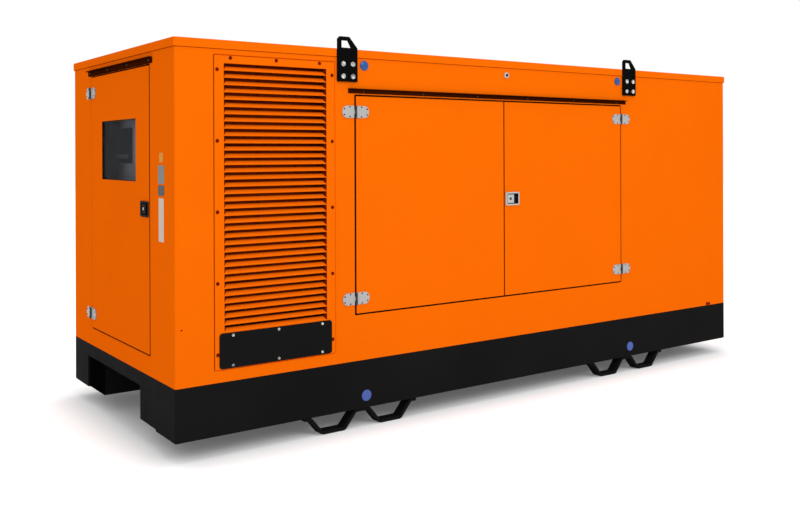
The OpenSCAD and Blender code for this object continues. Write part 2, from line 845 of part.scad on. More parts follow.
module control_cabinet() color("#c9ccce") place() on_end() {
    x1 = end_x + 47;
    x2 = body_w - x1;
    front = 130;
    back = 400;
    bezel_t = 15;
    bezel_past = 20;
    foot = window_z - 230;
    leg = 60;
    block(x1, x2, front, back, foot, end_top - 110);
    block(window_x - bezel_past, window_x + window_w + bezel_past, front - bezel_t, front + eps,
          window_z - bezel_past, window_z + window_h + bezel_past);
    for (x = [x1 + 20, x2 - leg - 20]) block(x, x + leg, front + 50, back - 100, base_h, foot + eps);
}
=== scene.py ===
"""Looks of a canopied diesel generating set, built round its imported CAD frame."""

import json
import logging
import math
from dataclasses import dataclass
from enum import Enum
from typing import Any, Callable, Iterable, Mapping, Optional, Sequence

import bmesh
import bpy
from bmesh.types import BMEdge, BMFace, BMVert
from mathutils import Matrix, Vector


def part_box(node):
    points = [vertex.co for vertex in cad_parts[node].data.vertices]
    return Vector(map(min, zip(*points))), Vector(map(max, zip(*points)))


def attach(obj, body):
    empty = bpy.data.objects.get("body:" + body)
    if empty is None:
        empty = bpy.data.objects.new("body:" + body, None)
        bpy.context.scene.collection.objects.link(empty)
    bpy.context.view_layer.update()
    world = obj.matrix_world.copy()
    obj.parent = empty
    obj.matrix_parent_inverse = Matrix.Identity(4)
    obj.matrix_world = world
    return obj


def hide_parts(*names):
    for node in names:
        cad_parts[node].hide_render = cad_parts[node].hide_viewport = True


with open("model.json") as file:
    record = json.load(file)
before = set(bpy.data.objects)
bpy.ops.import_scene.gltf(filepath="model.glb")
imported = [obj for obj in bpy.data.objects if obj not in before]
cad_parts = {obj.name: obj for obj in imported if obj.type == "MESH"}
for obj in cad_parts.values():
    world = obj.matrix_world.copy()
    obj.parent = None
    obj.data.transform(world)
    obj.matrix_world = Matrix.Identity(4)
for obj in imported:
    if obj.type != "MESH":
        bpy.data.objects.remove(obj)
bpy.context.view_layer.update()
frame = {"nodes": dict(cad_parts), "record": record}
NODE_BODY: dict[str, str] = {
    node: body for body, nodes in frame["record"]["behaviour"]["bodies"].items() for node in nodes
}
LOG = logging.getLogger("generating_set")

Pair = tuple[float, float]
Pairs = tuple[Pair, ...]
Triple = tuple[float, float, float]
Floats = tuple[float, ...]
Feeds = Mapping[str | int, Any]
Socket = bpy.types.NodeSocket
EdgeTest = Callable[[BMEdge], bool]
FaceTest = Callable[[BMFace], bool]

UP = Vector((0.0, 0.0, 1.0))
MERGE_DISTANCE = 1e-5
PLANE_DISTANCE = 2e-4
FLAT_ANGLE = math.radians(0.5)
CORNER_ANGLE = math.radians(30)
SKIN_ANGLE = math.radians(32)
SHARP_ANGLE = math.radians(35)
RIM_ANGLE = math.radians(50)
SIDE_ON = 0.3
FINE_EDGE = 0.0004
THIN_EDGE = 0.0006
SOFT_EDGE = 0.001


class Slot(Enum):
    """Material slots of the record that new pieces take their finish from."""

    ORANGE = "orange_paint"
    BLACK = "black_paint"
    ZINC = "hinge_zinc"
    STEEL = "latch_steel"
    PLASTIC = "black_plastic"
    WINDOW = "window"
    ENGINE = "engine_paint"
    ALTERNATOR = "alternator_paint"
    CORE = "core_black"
    EXHAUST = "exhaust_steel"
    CABINET = "cabinet_grey"


class Pattern(Enum):
    """What breaks up a surface, with the scales per metre of its colour and of its bump."""

    SPRAYED = (2.3, 420.0)
    ROLLED = (2.3, 900.0)
    CAST = (30.0, 240.0)
    FOAM = (160.0, 320.0)
    FINNED = (2.3, 90.0)
    # Strong fine colour noise that paints glints
    GLINTING = (75.0, 900.0)


@dataclass(frozen=True)
class Graph:
    """A node tree with short ways to add to it."""

    tree: bpy.types.NodeTree

    def feed(self, node: bpy.types.Node, inputs: Feeds) -> None:
        """Links or sets inputs of a node.

        Args:
            node: The node.
            inputs: For each input, by name or place, the socket it is linked to or its constant.
        """
        for key, value in inputs.items():
            if isinstance(value, Socket):
                self.tree.links.new(value, node.inputs[key])
            else:
                node.inputs[key].default_value = value

    def add(self, kind: str, inputs: Optional[Feeds] = None, **options: Any) -> bpy.types.Node:
        """Adds a node.

        Args:
            kind: Its type, without the prefix that all shader nodes have.
            inputs: What goes into its inputs.
            options: Its settings.

        Returns:
            The node.
        """
        node = self.tree.nodes.new("ShaderNode" + kind)
        for name, value in options.items():
            setattr(node, name, value)
        self.feed(node, inputs or {})
        return node

    def noise(self, place: Socket, scale: float, detail: float = 4.0) -> Socket:
        """Adds noise of a scale per metre."""
        return self.add("TexNoise", {"Vector": place, "Scale": scale, "Detail": detail}).outputs["Fac"]

    def spread(self, value: Socket, source: Pair, result: Pair, **options: Any) -> Socket:
        """Maps a value from one range onto another.

        Args:
            value: The value.
            source: Its range.
            result: The range it is mapped onto.
            options: Settings of the node that does it.

        Returns:
            The mapped value.
        """
        ends = {"From Min": source[0], "From Max": source[1], "To Min": result[0], "To Max": result[1]}
        return self.add("MapRange", {"Value": value, **ends}, **options).outputs["Result"]


@dataclass(frozen=True)
class Surface:
    """What a piece is made of, with its colour in linear RGB."""

    name: str
    colour: Triple
    slot: Optional[Slot]
    roughness: float = 0.45

    def material(self) -> bpy.types.Material:
        """Gives the surface's material, made on first use.

        Returns:
            The material, with noise on Object coordinates in its sockets.
        """
        made = bpy.data.materials.get(self.name)
        if not made:
            made = bpy.data.materials.new(self.name)
            made.use_nodes = True
            graph = Graph(made.node_tree)
            place = graph.add("TexCoord").outputs["Object"]
            graph.feed(made.node_tree.nodes["Principled BSDF"], self._sockets(graph, place))
        return made

    def _sockets(self, graph: Graph, place: Socket) -> dict[str, Any]:
        """Gives what goes into the shader's sockets."""
        raise NotImplementedError


@dataclass(frozen=True)
class Finish(Surface):
    """An opaque finish: its gloss, and the pattern that breaks up colour, gloss and relief."""

    specular: float = 0.35
    mottle_and_glint: float = 0.05
    grain: float = 0.05
    metallic: float = 0.0
    pattern: Pattern = Pattern.SPRAYED
    coat: float = 0.0
    edge_tint: Triple = (1.0, 1.0, 1.0)
    coat_roughness: float = 0.15
    bump_depth: float = 0.002
    noise_range: Pair = (0.3, 0.7)
    gloss_drift: Pair = (0.88, 1.12)

    def _sockets(self, graph: Graph, place: Socket) -> dict[str, Any]:
        """Gives what goes into the shader's sockets.

        Args:
            graph: The material's nodes.
            place: The coordinates to read.

        Returns:
            A socket or a constant for each of the shader's sockets.
        """
        drift = graph.noise(place, 60.0 if self.pattern is Pattern.ROLLED else 7.0)
        gloss = tuple(min(1.0, self.roughness * gain) for gain in self.gloss_drift)
        return {
            "Base Color": self._colour(graph, place),
            "Roughness": graph.spread(drift, self.noise_range, gloss),
            "Normal": self._relief(graph, place),
            "Metallic": self.metallic,
            "Specular IOR Level": self.specular,
            "Specular Tint": (*self.edge_tint, 1.0),
            "Coat Weight": self.coat,
            "Coat Roughness": self.coat_roughness,
        }

    def _colour(self, graph: Graph, place: Socket) -> Socket:
        """Adds a colour that drifts over the surface: a little mottle on most finishes, painted glints on the
        bright bolts.

        Args:
            graph: The material's nodes.
            place: The coordinates to read.

        Returns:
            The colour.
        """
        ramp = graph.add("ValToRGB", {"Fac": graph.noise(place, self.pattern.value[0])})
        stops = ramp.color_ramp.elements
        stops[0].position, stops[1].position = self.noise_range
        for stop, gain in zip(stops, (1.0 - self.mottle_and_glint, 1.0 + self.mottle_and_glint)):
            stop.color = (*(min(1.0, c * gain) for c in self.colour), 1.0)
        return ramp.outputs["Color"]

    def _relief(self, graph: Graph, place: Socket) -> Socket:
        """Adds the bump of the finish's pattern.

        Args:
            graph: The material's nodes.
            place: The coordinates to read.

        Returns:
            The bumped normal.
        """
        scale = self.pattern.value[1]
        if self.pattern is Pattern.FINNED:
            fins = graph.add("TexWave", {"Vector": place, "Scale": scale}, bands_direction="Z")
            height = fins.outputs["Fac"]
        else:
            height = graph.noise(place, scale, 2.0)
        bump = graph.add("Bump", {"Height": height, "Strength": self.grain, "Distance": self.bump_depth})
        return bump.outputs["Normal"]


@dataclass(frozen=True)
class PaintedShadeFinish(Finish):
    """A finish with painted shade that darkens its colour with depth behind the long sides' faces, where
    little light comes.
    """

    plane: float = 0.72
    depth: Pair = (0.011, 0.018)
    # Colour of the painted shade at the greatest depth
    dark: Triple = (0.13, 0.012, 0.0005)

    def _colour(self, graph: Graph, place: Socket) -> Socket:
        """Adds the colour, darkened with depth as painted shade.

        Args:
            graph: The material's nodes.
            place: The coordinates to read.

        Returns:
            The colour.
        """
        across = graph.add("SeparateXYZ", {"Vector": place}).outputs["Y"]
        away = graph.add("Math", {0: across}, operation="ABSOLUTE").outputs["Value"]
        sunk = graph.spread(away, (self.plane - self.depth[0], self.plane - self.depth[1]), (0.0, 1.0))
        paint = super()._colour(graph, place)
        mix = graph.add("Mix", {"Factor": sunk, "A": paint, "B": (*self.dark, 1.0)}, data_type="RGBA")
        return mix.outputs["Result"]


@dataclass(frozen=True)
class Glazing(Surface):
    """Tinted safety glass."""

    roughness: float = 0.04
    transmission: float = 0.965
    refraction: float = 1.02

    def _sockets(self, graph: Graph, place: Socket) -> dict[str, Any]:
        """Gives what goes into the shader's sockets.

        Args:
            graph: The material's nodes.
            place: The coordinates to read.

        Returns:
            A socket or a constant for each of the shader's sockets.
        """
        haze = (self.roughness * 0.5, self.roughness * 1.5)
        return {
            "Base Color": (*self.colour, 1.0),
            "Transmission Weight": self.transmission,
            "IOR": self.refraction,
            "Roughness": graph.spread(graph.noise(place, 5.0, 2.0), (0.0, 1.0), haze),
        }


# Name, linear colour and slot, then roughness, specular, mottle (painted glints on the bright bolts), grain,
# metallic and pattern
ORANGE = Finish("orange_powder_coat", (0.93, 0.152, 0.0014), Slot.ORANGE, 0.45, 0.0, 0.012, 0.02, 0.08,
                edge_tint=(1.0, 0.2, 0.002))
# The louvres' finish paints shade that darkens with depth behind the side's face
LOUVRE = PaintedShadeFinish("orange_louvres", ORANGE.colour, Slot.ORANGE, 0.45, 0.0, 0.012, 0.02, 0.08,
                      edge_tint=ORANGE.edge_tint)
# The louvre cheeks are orange sheet coloured dark brown as painted shade
LOUVRE_CHEEK_PAINTED_SHADE = Finish("louvre_cheeks", (0.12, 0.011, 0.0005), Slot.ORANGE, 0.6, 0.0, 0.1)
SEAM = Finish("roof_seam", (0.22, 0.028, 0.0008), Slot.ORANGE, 0.8, 0.0, 0.1)
BLACK = Finish("black_powder_coat", (0.0101, 0.0101, 0.0101), Slot.BLACK, 0.5, 0.004, 0.12, 0.06)
LUG_BLACK = Finish("lug_black", (0.0042, 0.0042, 0.0042), Slot.BLACK, 0.5, 0.004, 0.12, 0.06)
# Painted shade: a darker copy of the black for the inner box's end under the deck
SHADED_BLACK = Finish("black_under_deck", (0.0016, 0.0016, 0.0016), Slot.BLACK, 0.6, 0.0, 0.12)
DRIP_BLACK = Finish("drip_rail_black", (0.038, 0.006, 0.0004), Slot.BLACK, 0.5, 0.0, 0.3)
DARK_SCREW = Finish("blackened_screws", (0.05, 0.008, 0.002), Slot.BLACK, 0.5, 0.03, 0.1)
PANEL_SCREW = Finish("panel_screws", (0.16, 0.007, 0.001), Slot.BLACK, 0.5, 0.01, 0.1)
ZINC = Finish("zinc_plate", (0.43, 0.43, 0.425), Slot.ZINC, 0.42, 0.3, 0.1, 0.05, 0.25, Pattern.ROLLED)
STEEL = Finish("brushed_steel", (0.5, 0.5, 0.49), Slot.STEEL, 0.35, 0.4, 0.08, 0.05, 0.5, Pattern.ROLLED)
# The bright bolts' strong colour noise paints glints and dark reflections
BRIGHT = Finish("bright_zinc_bolts", (0.5, 0.5, 0.495), Slot.ZINC, 0.3, 0.4, 0.75, 0.03, 0.4,
                Pattern.GLINTING)
# Dark metal for the rail screws and a key; on the hinge knuckles this dark colour is painted shade
DARK_METAL_AND_KNUCKLE_SHADE = Finish("blackened_barrel", (0.045, 0.045, 0.048), Slot.ZINC, 0.45, 0.3, 0.2, 0.05, 0.3,
                Pattern.ROLLED)
PLASTIC = Finish("black_moulding", (0.008, 0.008, 0.0085), Slot.PLASTIC, 0.42, 0.015, 0.1, 0.08)
RUBBER = Finish("black_rubber", (0.005, 0.0045, 0.004), Slot.PLASTIC, 0.8, 0.05, 0.15, 0.1)
# Dark floor and deep faces of the latch cups: painted shade in the recess
LATCH_CUP_PAINTED_SHADE = Finish("latch_cup", (0.022, 0.028, 0.042), Slot.PLASTIC, 0.5, 0.05, 0.15)
FOAM = Finish("acoustic_foam", (0.03, 0.031, 0.033), Slot.PLASTIC, 0.95, 0.1, 0.3, 0.9, 0.0, Pattern.FOAM)
# Orange-brown behind the louvre gaps: painted shade of the canopy's inside
INLET_PAINTED_SHADE = Finish("inlet_lining", (0.16, 0.018, 0.001), Slot.PLASTIC, 0.95, 0.02, 0.3, 0.6, 0.0,
                      Pattern.FOAM)
BLUE = Finish("blue_cap", (0.085, 0.14, 0.44), Slot.PLASTIC, 0.4, 0.05, 0.08)
GLOSSY_BLUE = Finish("glossy_blue_cap", (0.008, 0.075, 0.3), Slot.PLASTIC, 0.16, 0.3, 0.15, coat=0.2)
RED = Finish("red_button", (0.55, 0.012, 0.01), Slot.PLASTIC, 0.35, 0.5, coat=0.3)
MAROON = Finish("dark_red_tab", (0.22, 0.018, 0.002), Slot.PLASTIC, 0.5, 0.0)
SCREEN = Finish("controller_screen", (0.012, 0.016, 0.018), Slot.PLASTIC, 0.12, 0.5, 0.1, 0.0)
ENGINE_ENAMEL = Finish("engine_enamel", (0.045, 0.06, 0.062), Slot.ENGINE, 0.4, 0.45, 0.12, 0.25, 0.0,
                       Pattern.CAST)
ALTERNATOR_ENAMEL = Finish("alternator_enamel", (0.04, 0.09, 0.16), Slot.ALTERNATOR, 0.42, 0.45, 0.1, 0.2,
                           0.0, Pattern.CAST)
CORE = Finish("radiator_core", (0.02, 0.021, 0.022), Slot.CORE, 0.5, 0.4, 0.1, 0.8, 0.3, Pattern.FINNED)
HOT_STEEL = Finish("heat_proof_steel", (0.2, 0.19, 0.175), Slot.EXHAUST, 0.6, 0.4, 0.3, 0.2, 0.5,
                   Pattern.CAST)
RUSTED = Finish("scaled_manifold", (0.13, 0.075, 0.045), Slot.EXHAUST, 0.75, 0.3, 0.4, 0.4, 0.2, Pattern.CAST)
CABINET = Finish("cabinet_grey", (0.44, 0.45, 0.46), Slot.CABINET, 0.5, 0.3, 0.03, 0.12)
BLANK_WHITE = Finish("blank_plate_white", (0.62, 0.55, 0.48), None, 0.5, 0.1, 0.08)
BLANK_GREY = Finish("blank_plate_grey", (0.22, 0.22, 0.2), None, 0.45, 0.15, 0.12)
BLANK_DARK = Finish("blank_plate_dark", (0.06, 0.07, 0.07), None, 0.45, 0.15, 0.15)
BLANK_YELLOW = Finish("blank_plate_yellow", (0.75, 0.3, 0.03), None, 0.5, 0.1, 0.08)
TINTED = Glazing("tinted_window", (0.43, 0.45, 0.49), Slot.WINDOW)


@dataclass(frozen=True)
class Face:
    """A flat side of the set: its name, a corner, the way along it and the way out of it."""

    name: str
    corner: Vector
    along: Vector
    out: Vector

    @property
    def axis(self) -> int:
        """Gives the world axis that runs along the side: 0 for X, 1 for Y."""
        return 0 if abs(self.out.y) > 0.5 else 1

    def point(self, along: float, up: float, out: float = 0.0) -> Vector:
        """Gives the place that lies so far along, up and out, in metres."""
        return self.corner + self.along * along + UP * up + self.out * out

    def at(self, across: float, height: float, depth: float) -> Vector:
        """Gives a place behind the side.

        Args:
            across: World coordinate along the side.
            height: World height.
            depth: How deep behind the side.

        Returns:
            The place.
        """
        place = Vector((across, across, height))
        inward = 1 - self.axis
        place[inward] = self.corner[inward] - self.out[inward] * depth
        return place


# Sides of the canopy, counted from the control end and the underside of the base
WIDTH = 1.44
FRONT = Face("front", Vector((-1.9035, -WIDTH / 2, 0.091)), Vector((1, 0, 0)), Vector((0, -1, 0)))
REAR = Face("rear", FRONT.corner + Vector((0, WIDTH, 0)), Vector((1, 0, 0)), Vector((0, 1, 0)))
END = Face("end", REAR.corner, Vector((0, -1, 0)), Vector((-1, 0, 0)))
LONG_SIDES = (FRONT, REAR)


class Shape:
    """A mesh in the making, in metres in the CAD frame."""

    def __init__(self) -> None:
        """Starts with nothing."""
        self.bm = bmesh.new()

    def bevel(self, edges: Sequence[BMEdge], width: float, steps: int) -> None:
        """Bevels some edges."""
        bmesh.ops.bevel(self.bm, geom=edges, offset=width, offset_type="OFFSET", segments=steps, profile=0.5,
                        affect="EDGES", clamp_overlap=True, material=-1)

    def soften(self, verts: Iterable[BMVert], width: float, steps: int = 2,
               angle: float = CORNER_ANGLE) -> None:
        """Bevels the sharp edges at some vertices.

        Args:
            verts: The vertices.
            width: Bevel width.
            steps: Bevel segments.
            angle: Edges flatter than this stay.
        """
        edges = dict.fromkeys(e for v in verts for e in v.link_edges)
        sharp = [e for e in edges if len(e.link_faces) == 2 and e.calc_face_angle(0.0) > angle]
        self.bevel(sharp, width, steps)

    def slab(self, first: Sequence[float], second: Sequence[float], edge: float = 0.0,
             steps: int = 2) -> None:
        """Adds a block with softened edges.

        Args:
            first: One corner.
            second: The opposite corner.
            edge: Bevel width, 0 for none.
            steps: Bevel segments.
        """
        a, b = Vector(first), Vector(second)
        made = bmesh.ops.create_cube(self.bm, size=1.0)["verts"]
        bmesh.ops.scale(self.bm, vec=[abs(c) for c in b - a], verts=made)
        bmesh.ops.translate(self.bm, vec=(a + b) / 2, verts=made)
        if edge:
            self.soften(made, edge, steps)

    def rod(self, start: Vector, end: Vector, radius: float, tip: Optional[float] = None, sides: int = 24,
            edge: float = 0.0) -> None:
        """Adds a round bar, a cone or a prism between two places.

        Args:
            start: Middle of the first end.
            end: Middle of the second end.
            radius: Radius at the first end.
            tip: Radius at the second end, the same if left out.
            sides: Number of sides.
            edge: Bevel width of the rims, 0 for none.
        """
        way = end - start
        turn = way.to_track_quat("Z", "Y").to_matrix().to_4x4()
        made = bmesh.ops.create_cone(self.bm, cap_ends=True, cap_tris=False, segments=sides, radius1=radius,
                                     radius2=radius if tip is None else tip, depth=way.length,
                                     matrix=Matrix.Translation((start + end) / 2) @ turn)["verts"]
        if edge:
            self.soften(made, edge, 2, RIM_ANGLE)

    def rounded_plate(self, face: Face, start: Pair, stop: Pair, thick: float, corner: float) -> None:
        """Adds a plate that lies on a side, with the two corners at its start rounded.

        Args:
            face: The side.
            start: Lower corner at the rounded end, along and up.
            stop: Upper corner at the square end, along and up.
            thick: Thickness of the plate.
            corner: Radius of the rounded corners.
        """
        before = set(self.bm.verts)
        a = face.point(*start)
        self.slab(a, face.point(*stop, thick))
        posts = dict.fromkeys(e for v in self.bm.verts if v not in before for e in v.link_edges
                              if all(abs((w.co - a).dot(face.along)) < MERGE_DISTANCE for w in e.verts)
                              and abs((e.verts[0].co - e.verts[1].co).normalized().dot(face.out)) > 0.9)
        self.bevel(list(posts), corner, 8)
        self.soften([v for v in self.bm.verts if v not in before], thick * 0.25, 2, RIM_ANGLE)

    def gusset(self, corners: Sequence[Vector], back: Vector) -> None:
        """Adds a thin triangle.

        Args:
            corners: Its three corners.
            back: How far and which way its back lies.
        """
        sheet = self.bm.faces.new([self.bm.verts.new(c) for c in corners])
        grown = bmesh.ops.extrude_face_region(self.bm, geom=[sheet], use_keep_orig=True)["geom"]
        bmesh.ops.translate(self.bm, vec=back, verts=[g for g in grown if isinstance(g, BMVert)])
        bmesh.ops.recalc_face_normals(self.bm, faces=self.bm.faces[:])

    def turned(self, profile: Sequence[Pair], base: Vector, axis: Vector, radius: float = 1.0,
               steps: int = 24) -> None:
        """Adds a body turned from a profile that starts and ends on its axis.

        Args:
            profile: Radius and height pairs from the base to the tip.
            base: Place of height 0 on the axis.
            axis: The way of the axis.
            radius: What the profile's radii are multiplied by.
            steps: Steps of the full turn.
        """
        way = axis.normalized()
        side = way.orthogonal().normalized()
        verts = [self.bm.verts.new(base + side * (r * radius) + way * h) for r, h in profile]
        edges = [self.bm.edges.new(pair) for pair in zip(verts, verts[1:])]
        bmesh.ops.spin(self.bm, geom=verts + edges, cent=base, axis=way, angle=math.tau, steps=steps,
                       use_merge=True)
        bmesh.ops.remove_doubles(self.bm, verts=self.bm.verts[:], dist=MERGE_DISTANCE)
        bmesh.ops.recalc_face_normals(self.bm, faces=self.bm.faces[:])

    def bolt(self, seat: Vector, out: Vector, across: float, high: float, washer: float = 0.0) -> None:
        """Adds a hexagon head, on a washer where one is given.

        Args:
            seat: Middle of the head on the surface.
            out: The way out of the surface.
            across: Size across flats.
            high: Height of the head.
            washer: Radius of the washer, 0 for none.
        """
        if washer:
            thick = high * 0.22
            self.rod(seat, seat + out * thick, washer, sides=20, edge=thick * 0.3)
            seat = seat + out * thick
        self.rod(seat, seat + out * high, across / math.sqrt(3), sides=6, edge=high * 0.12)

    def screw(self, seat: Vector, out: Vector, radius: float, high: float) -> None:
        """Adds a low round screw head."""
        self.rod(seat, seat + out * high, radius, radius * 0.72, sides=12, edge=high * 0.25)

    def tiles(self, middle: Vector, across: Vector, up: Vector, size: Pair, thick: float,
              pitch: float) -> None:
        """Adds a lining pad of crowned tiles.

        Args:
            middle: Middle of the pad's back.
            across: The way along the pad.
            up: The way up the pad; the pad grows towards across x up.
            size: Width and height.
            thick: Thickness of the pad.
            pitch: Size of a tile, roughly.
        """
        counts = [max(1, round(s / pitch)) for s in size]
        normal = across.cross(up)
        turn = Matrix((across, up, normal)).transposed().to_4x4()
        made = bmesh.ops.create_grid(self.bm, x_segments=counts[0], y_segments=counts[1], size=0.5)["verts"]
        bmesh.ops.scale(self.bm, vec=(size[0], size[1], 1.0), verts=made)
        bmesh.ops.transform(self.bm, matrix=Matrix.Translation(middle) @ turn, verts=made)
        sheet = list(dict.fromkeys(f for v in made for f in v.link_faces))
        grown = bmesh.ops.extrude_face_region(self.bm, geom=sheet)["geom"]
        top = [g for g in grown if isinstance(g, BMFace)]
        moved = [g for g in grown if isinstance(g, BMVert)]
        bmesh.ops.translate(self.bm, vec=normal * thick * 0.6, verts=moved)
        bmesh.ops.reverse_faces(self.bm, faces=sheet)
        bmesh.ops.inset_individual(self.bm, faces=top, thickness=thick * 0.5, depth=thick * 0.4)
        bmesh.ops.recalc_face_normals(self.bm, faces=self.bm.faces[:])

    def object(self, name: str, surface: Surface, body: str = "set",
               replaces: Sequence[str] = ()) -> bpy.types.Object:
        """Makes the shape an object that rides on a body.

        Args:
            name: Piece name.
            surface: What it is made of.
            body: CAD body that carries it.
            replaces: CAD nodes that it stands for.

        Returns:
            The object.
        """
        mesh = bpy.data.meshes.new(name)
        self.bm.to_mesh(mesh)
        self.bm.free()
        mesh.polygons.foreach_set("use_smooth", [True] * len(mesh.polygons))
        mesh.set_sharp_from_angle(angle=SHARP_ANGLE)
        made = bpy.data.objects.new(name, mesh)
        bpy.context.scene.collection.objects.link(made)
        made.modifiers.new("true_flats", "WEIGHTED_NORMAL").keep_sharp = True
        made.data.materials.append(surface.material())
        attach(made, body)
        if replaces:
            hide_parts(*replaces)
        LOG.info("%s: %d faces on %s", name, len(mesh.polygons), body)
        return made


@dataclass(frozen=True)
class SecondFinish:
    """A finish that some faces of a skin take instead of its main one."""

    finish: Finish
    takes: FaceTest


def skin(node: str, surface: Surface, edge: float, steps: int = 2, keep_sharp: Optional[EdgeTest] = None,
         second: Optional[SecondFinish] = None, merge_flats: bool = True) -> None:
    """Stands a softened copy of a CAD node in its place.

    Args:
        node: The CAD node.
        surface: What it is made of.
        edge: Bevel width of its sharp edges.
        steps: Bevel segments.
        keep_sharp: Tells which edges stay sharp, none if left out.
        second: Another finish for some of its faces.
        merge_flats: Whether flat stretches become one face each before the bevel.
    """
    shape = Shape()
    bm = shape.bm
    bm.from_mesh(frame["nodes"][node].data)
    bmesh.ops.remove_doubles(bm, verts=bm.verts[:], dist=MERGE_DISTANCE)
    if merge_flats:
        bmesh.ops.dissolve_limit(bm, angle_limit=FLAT_ANGLE, verts=bm.verts[:], edges=bm.edges[:])
    chosen = [e for e in bm.edges if len(e.link_faces) == 2 and e.calc_face_angle(0.0) > SKIN_ANGLE
              and not (keep_sharp and keep_sharp(e))]
    shape.bevel(chosen, edge, steps)
    bmesh.ops.dissolve_degenerate(bm, dist=MERGE_DISTANCE, edges=bm.edges[:])
    bm.normal_update()
    for side in bm.faces:
        side.material_index = int(bool(second and second.takes(side)))
    made = shape.object(node + "_skin", surface, NODE_BODY[node], [node])
    if second:
        made.data.materials.append(second.finish.material())


def dress(node: str, surface: Surface) -> None:
    """Gives a CAD node that stays shown its finish.

    Args:
        node: The CAD node.
        surface: What it is made of.
    """
    piece = frame["nodes"][node]
    piece.data.materials.clear()
    piece.data.materials.append(surface.material())
    LOG.info("%s: CAD node in %s", node, surface.name)


def sunk_behind(face: Face, depth: float) -> FaceTest:
    """Makes a test for faces that lie deeper than a depth behind a side."""
    return lambda f: (f.calc_center_median() - face.corner).dot(face.out) < -depth


def deep_edges(face: Face, depth: float) -> FaceTest:
    """Makes a test for faces that run into a side, deeper than a depth behind it."""
    sunk = sunk_behind(face, depth)
    return lambda f: abs(f.normal.dot(face.out)) < SIDE_ON and sunk(f)


def on_plane(axis: int, value: float) -> EdgeTest:
    """Makes a test for edges that lie in the plane across an axis at a value."""
    return lambda edge: all(abs(v.co[axis] - value) < PLANE_DISTANCE for v in edge.verts)


def any_of(*tests: EdgeTest) -> EdgeTest:
    """Makes a test that holds where one of several does."""
    return lambda edge: any(test(edge) for test in tests)


@dataclass
class Base:
    """Black base frame: rails, deck, fork loops and the plain blue caps on its sides."""

    edge: float = 0.004
    loop_edge: float = 0.0025
    leg_w: float = 0.228
    cap_r: float = 0.027
    cap_z: float = 0.060
    cap_places: Floats = (0.972, 2.884)
    cap_profile: Pairs = ((0.0, 0.0), (1.0, 0.0), (1.0, 0.0015), (0.8, 0.003), (0.0, 0.0035))

    def build(self) -> None:
        """Builds the base."""
        deck_low, deck_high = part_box("deck")
        flush = any_of(on_plane(1, deck_low.y), on_plane(1, deck_high.y), on_plane(2, deck_high.z))
        for node in ("rail_front", "deck"):
            skin(node, BLACK, self.edge, keep_sharp=flush)
        # The rear rail's inner box end takes a darker black as painted shade
        shaded = SecondFinish(SHADED_BLACK, self._under_deck)
        skin("rail_rear", BLACK, self.edge, keep_sharp=flush, second=shaded)
        for face in LONG_SIDES:
            skin(f"fork_loops_{face.name}", BLACK, self.loop_edge, merge_flats=False)
        for face in LONG_SIDES:
            caps = Shape()
            for x in self.cap_places:
                caps.turned(self.cap_profile, face.point(x, self.cap_z), face.out, self.cap_r)
            caps.object(f"base_caps_{face.name}", BLUE)

    def _under_deck(self, side: BMFace) -> bool:
        """Tells whether a rail's face is the end of an inner box, set back under the deck, which takes
        painted shade.
        """
        inner = WIDTH / 2 - self.leg_w - self.edge / 2
        return abs(side.normal.x) > SIDE_ON and abs(side.calc_center_median().y) < inner


@dataclass(frozen=True)
class ScrewRow:
    """A row of screws along a rail."""

    count: int
    inset: float
    radius: float
    height: float


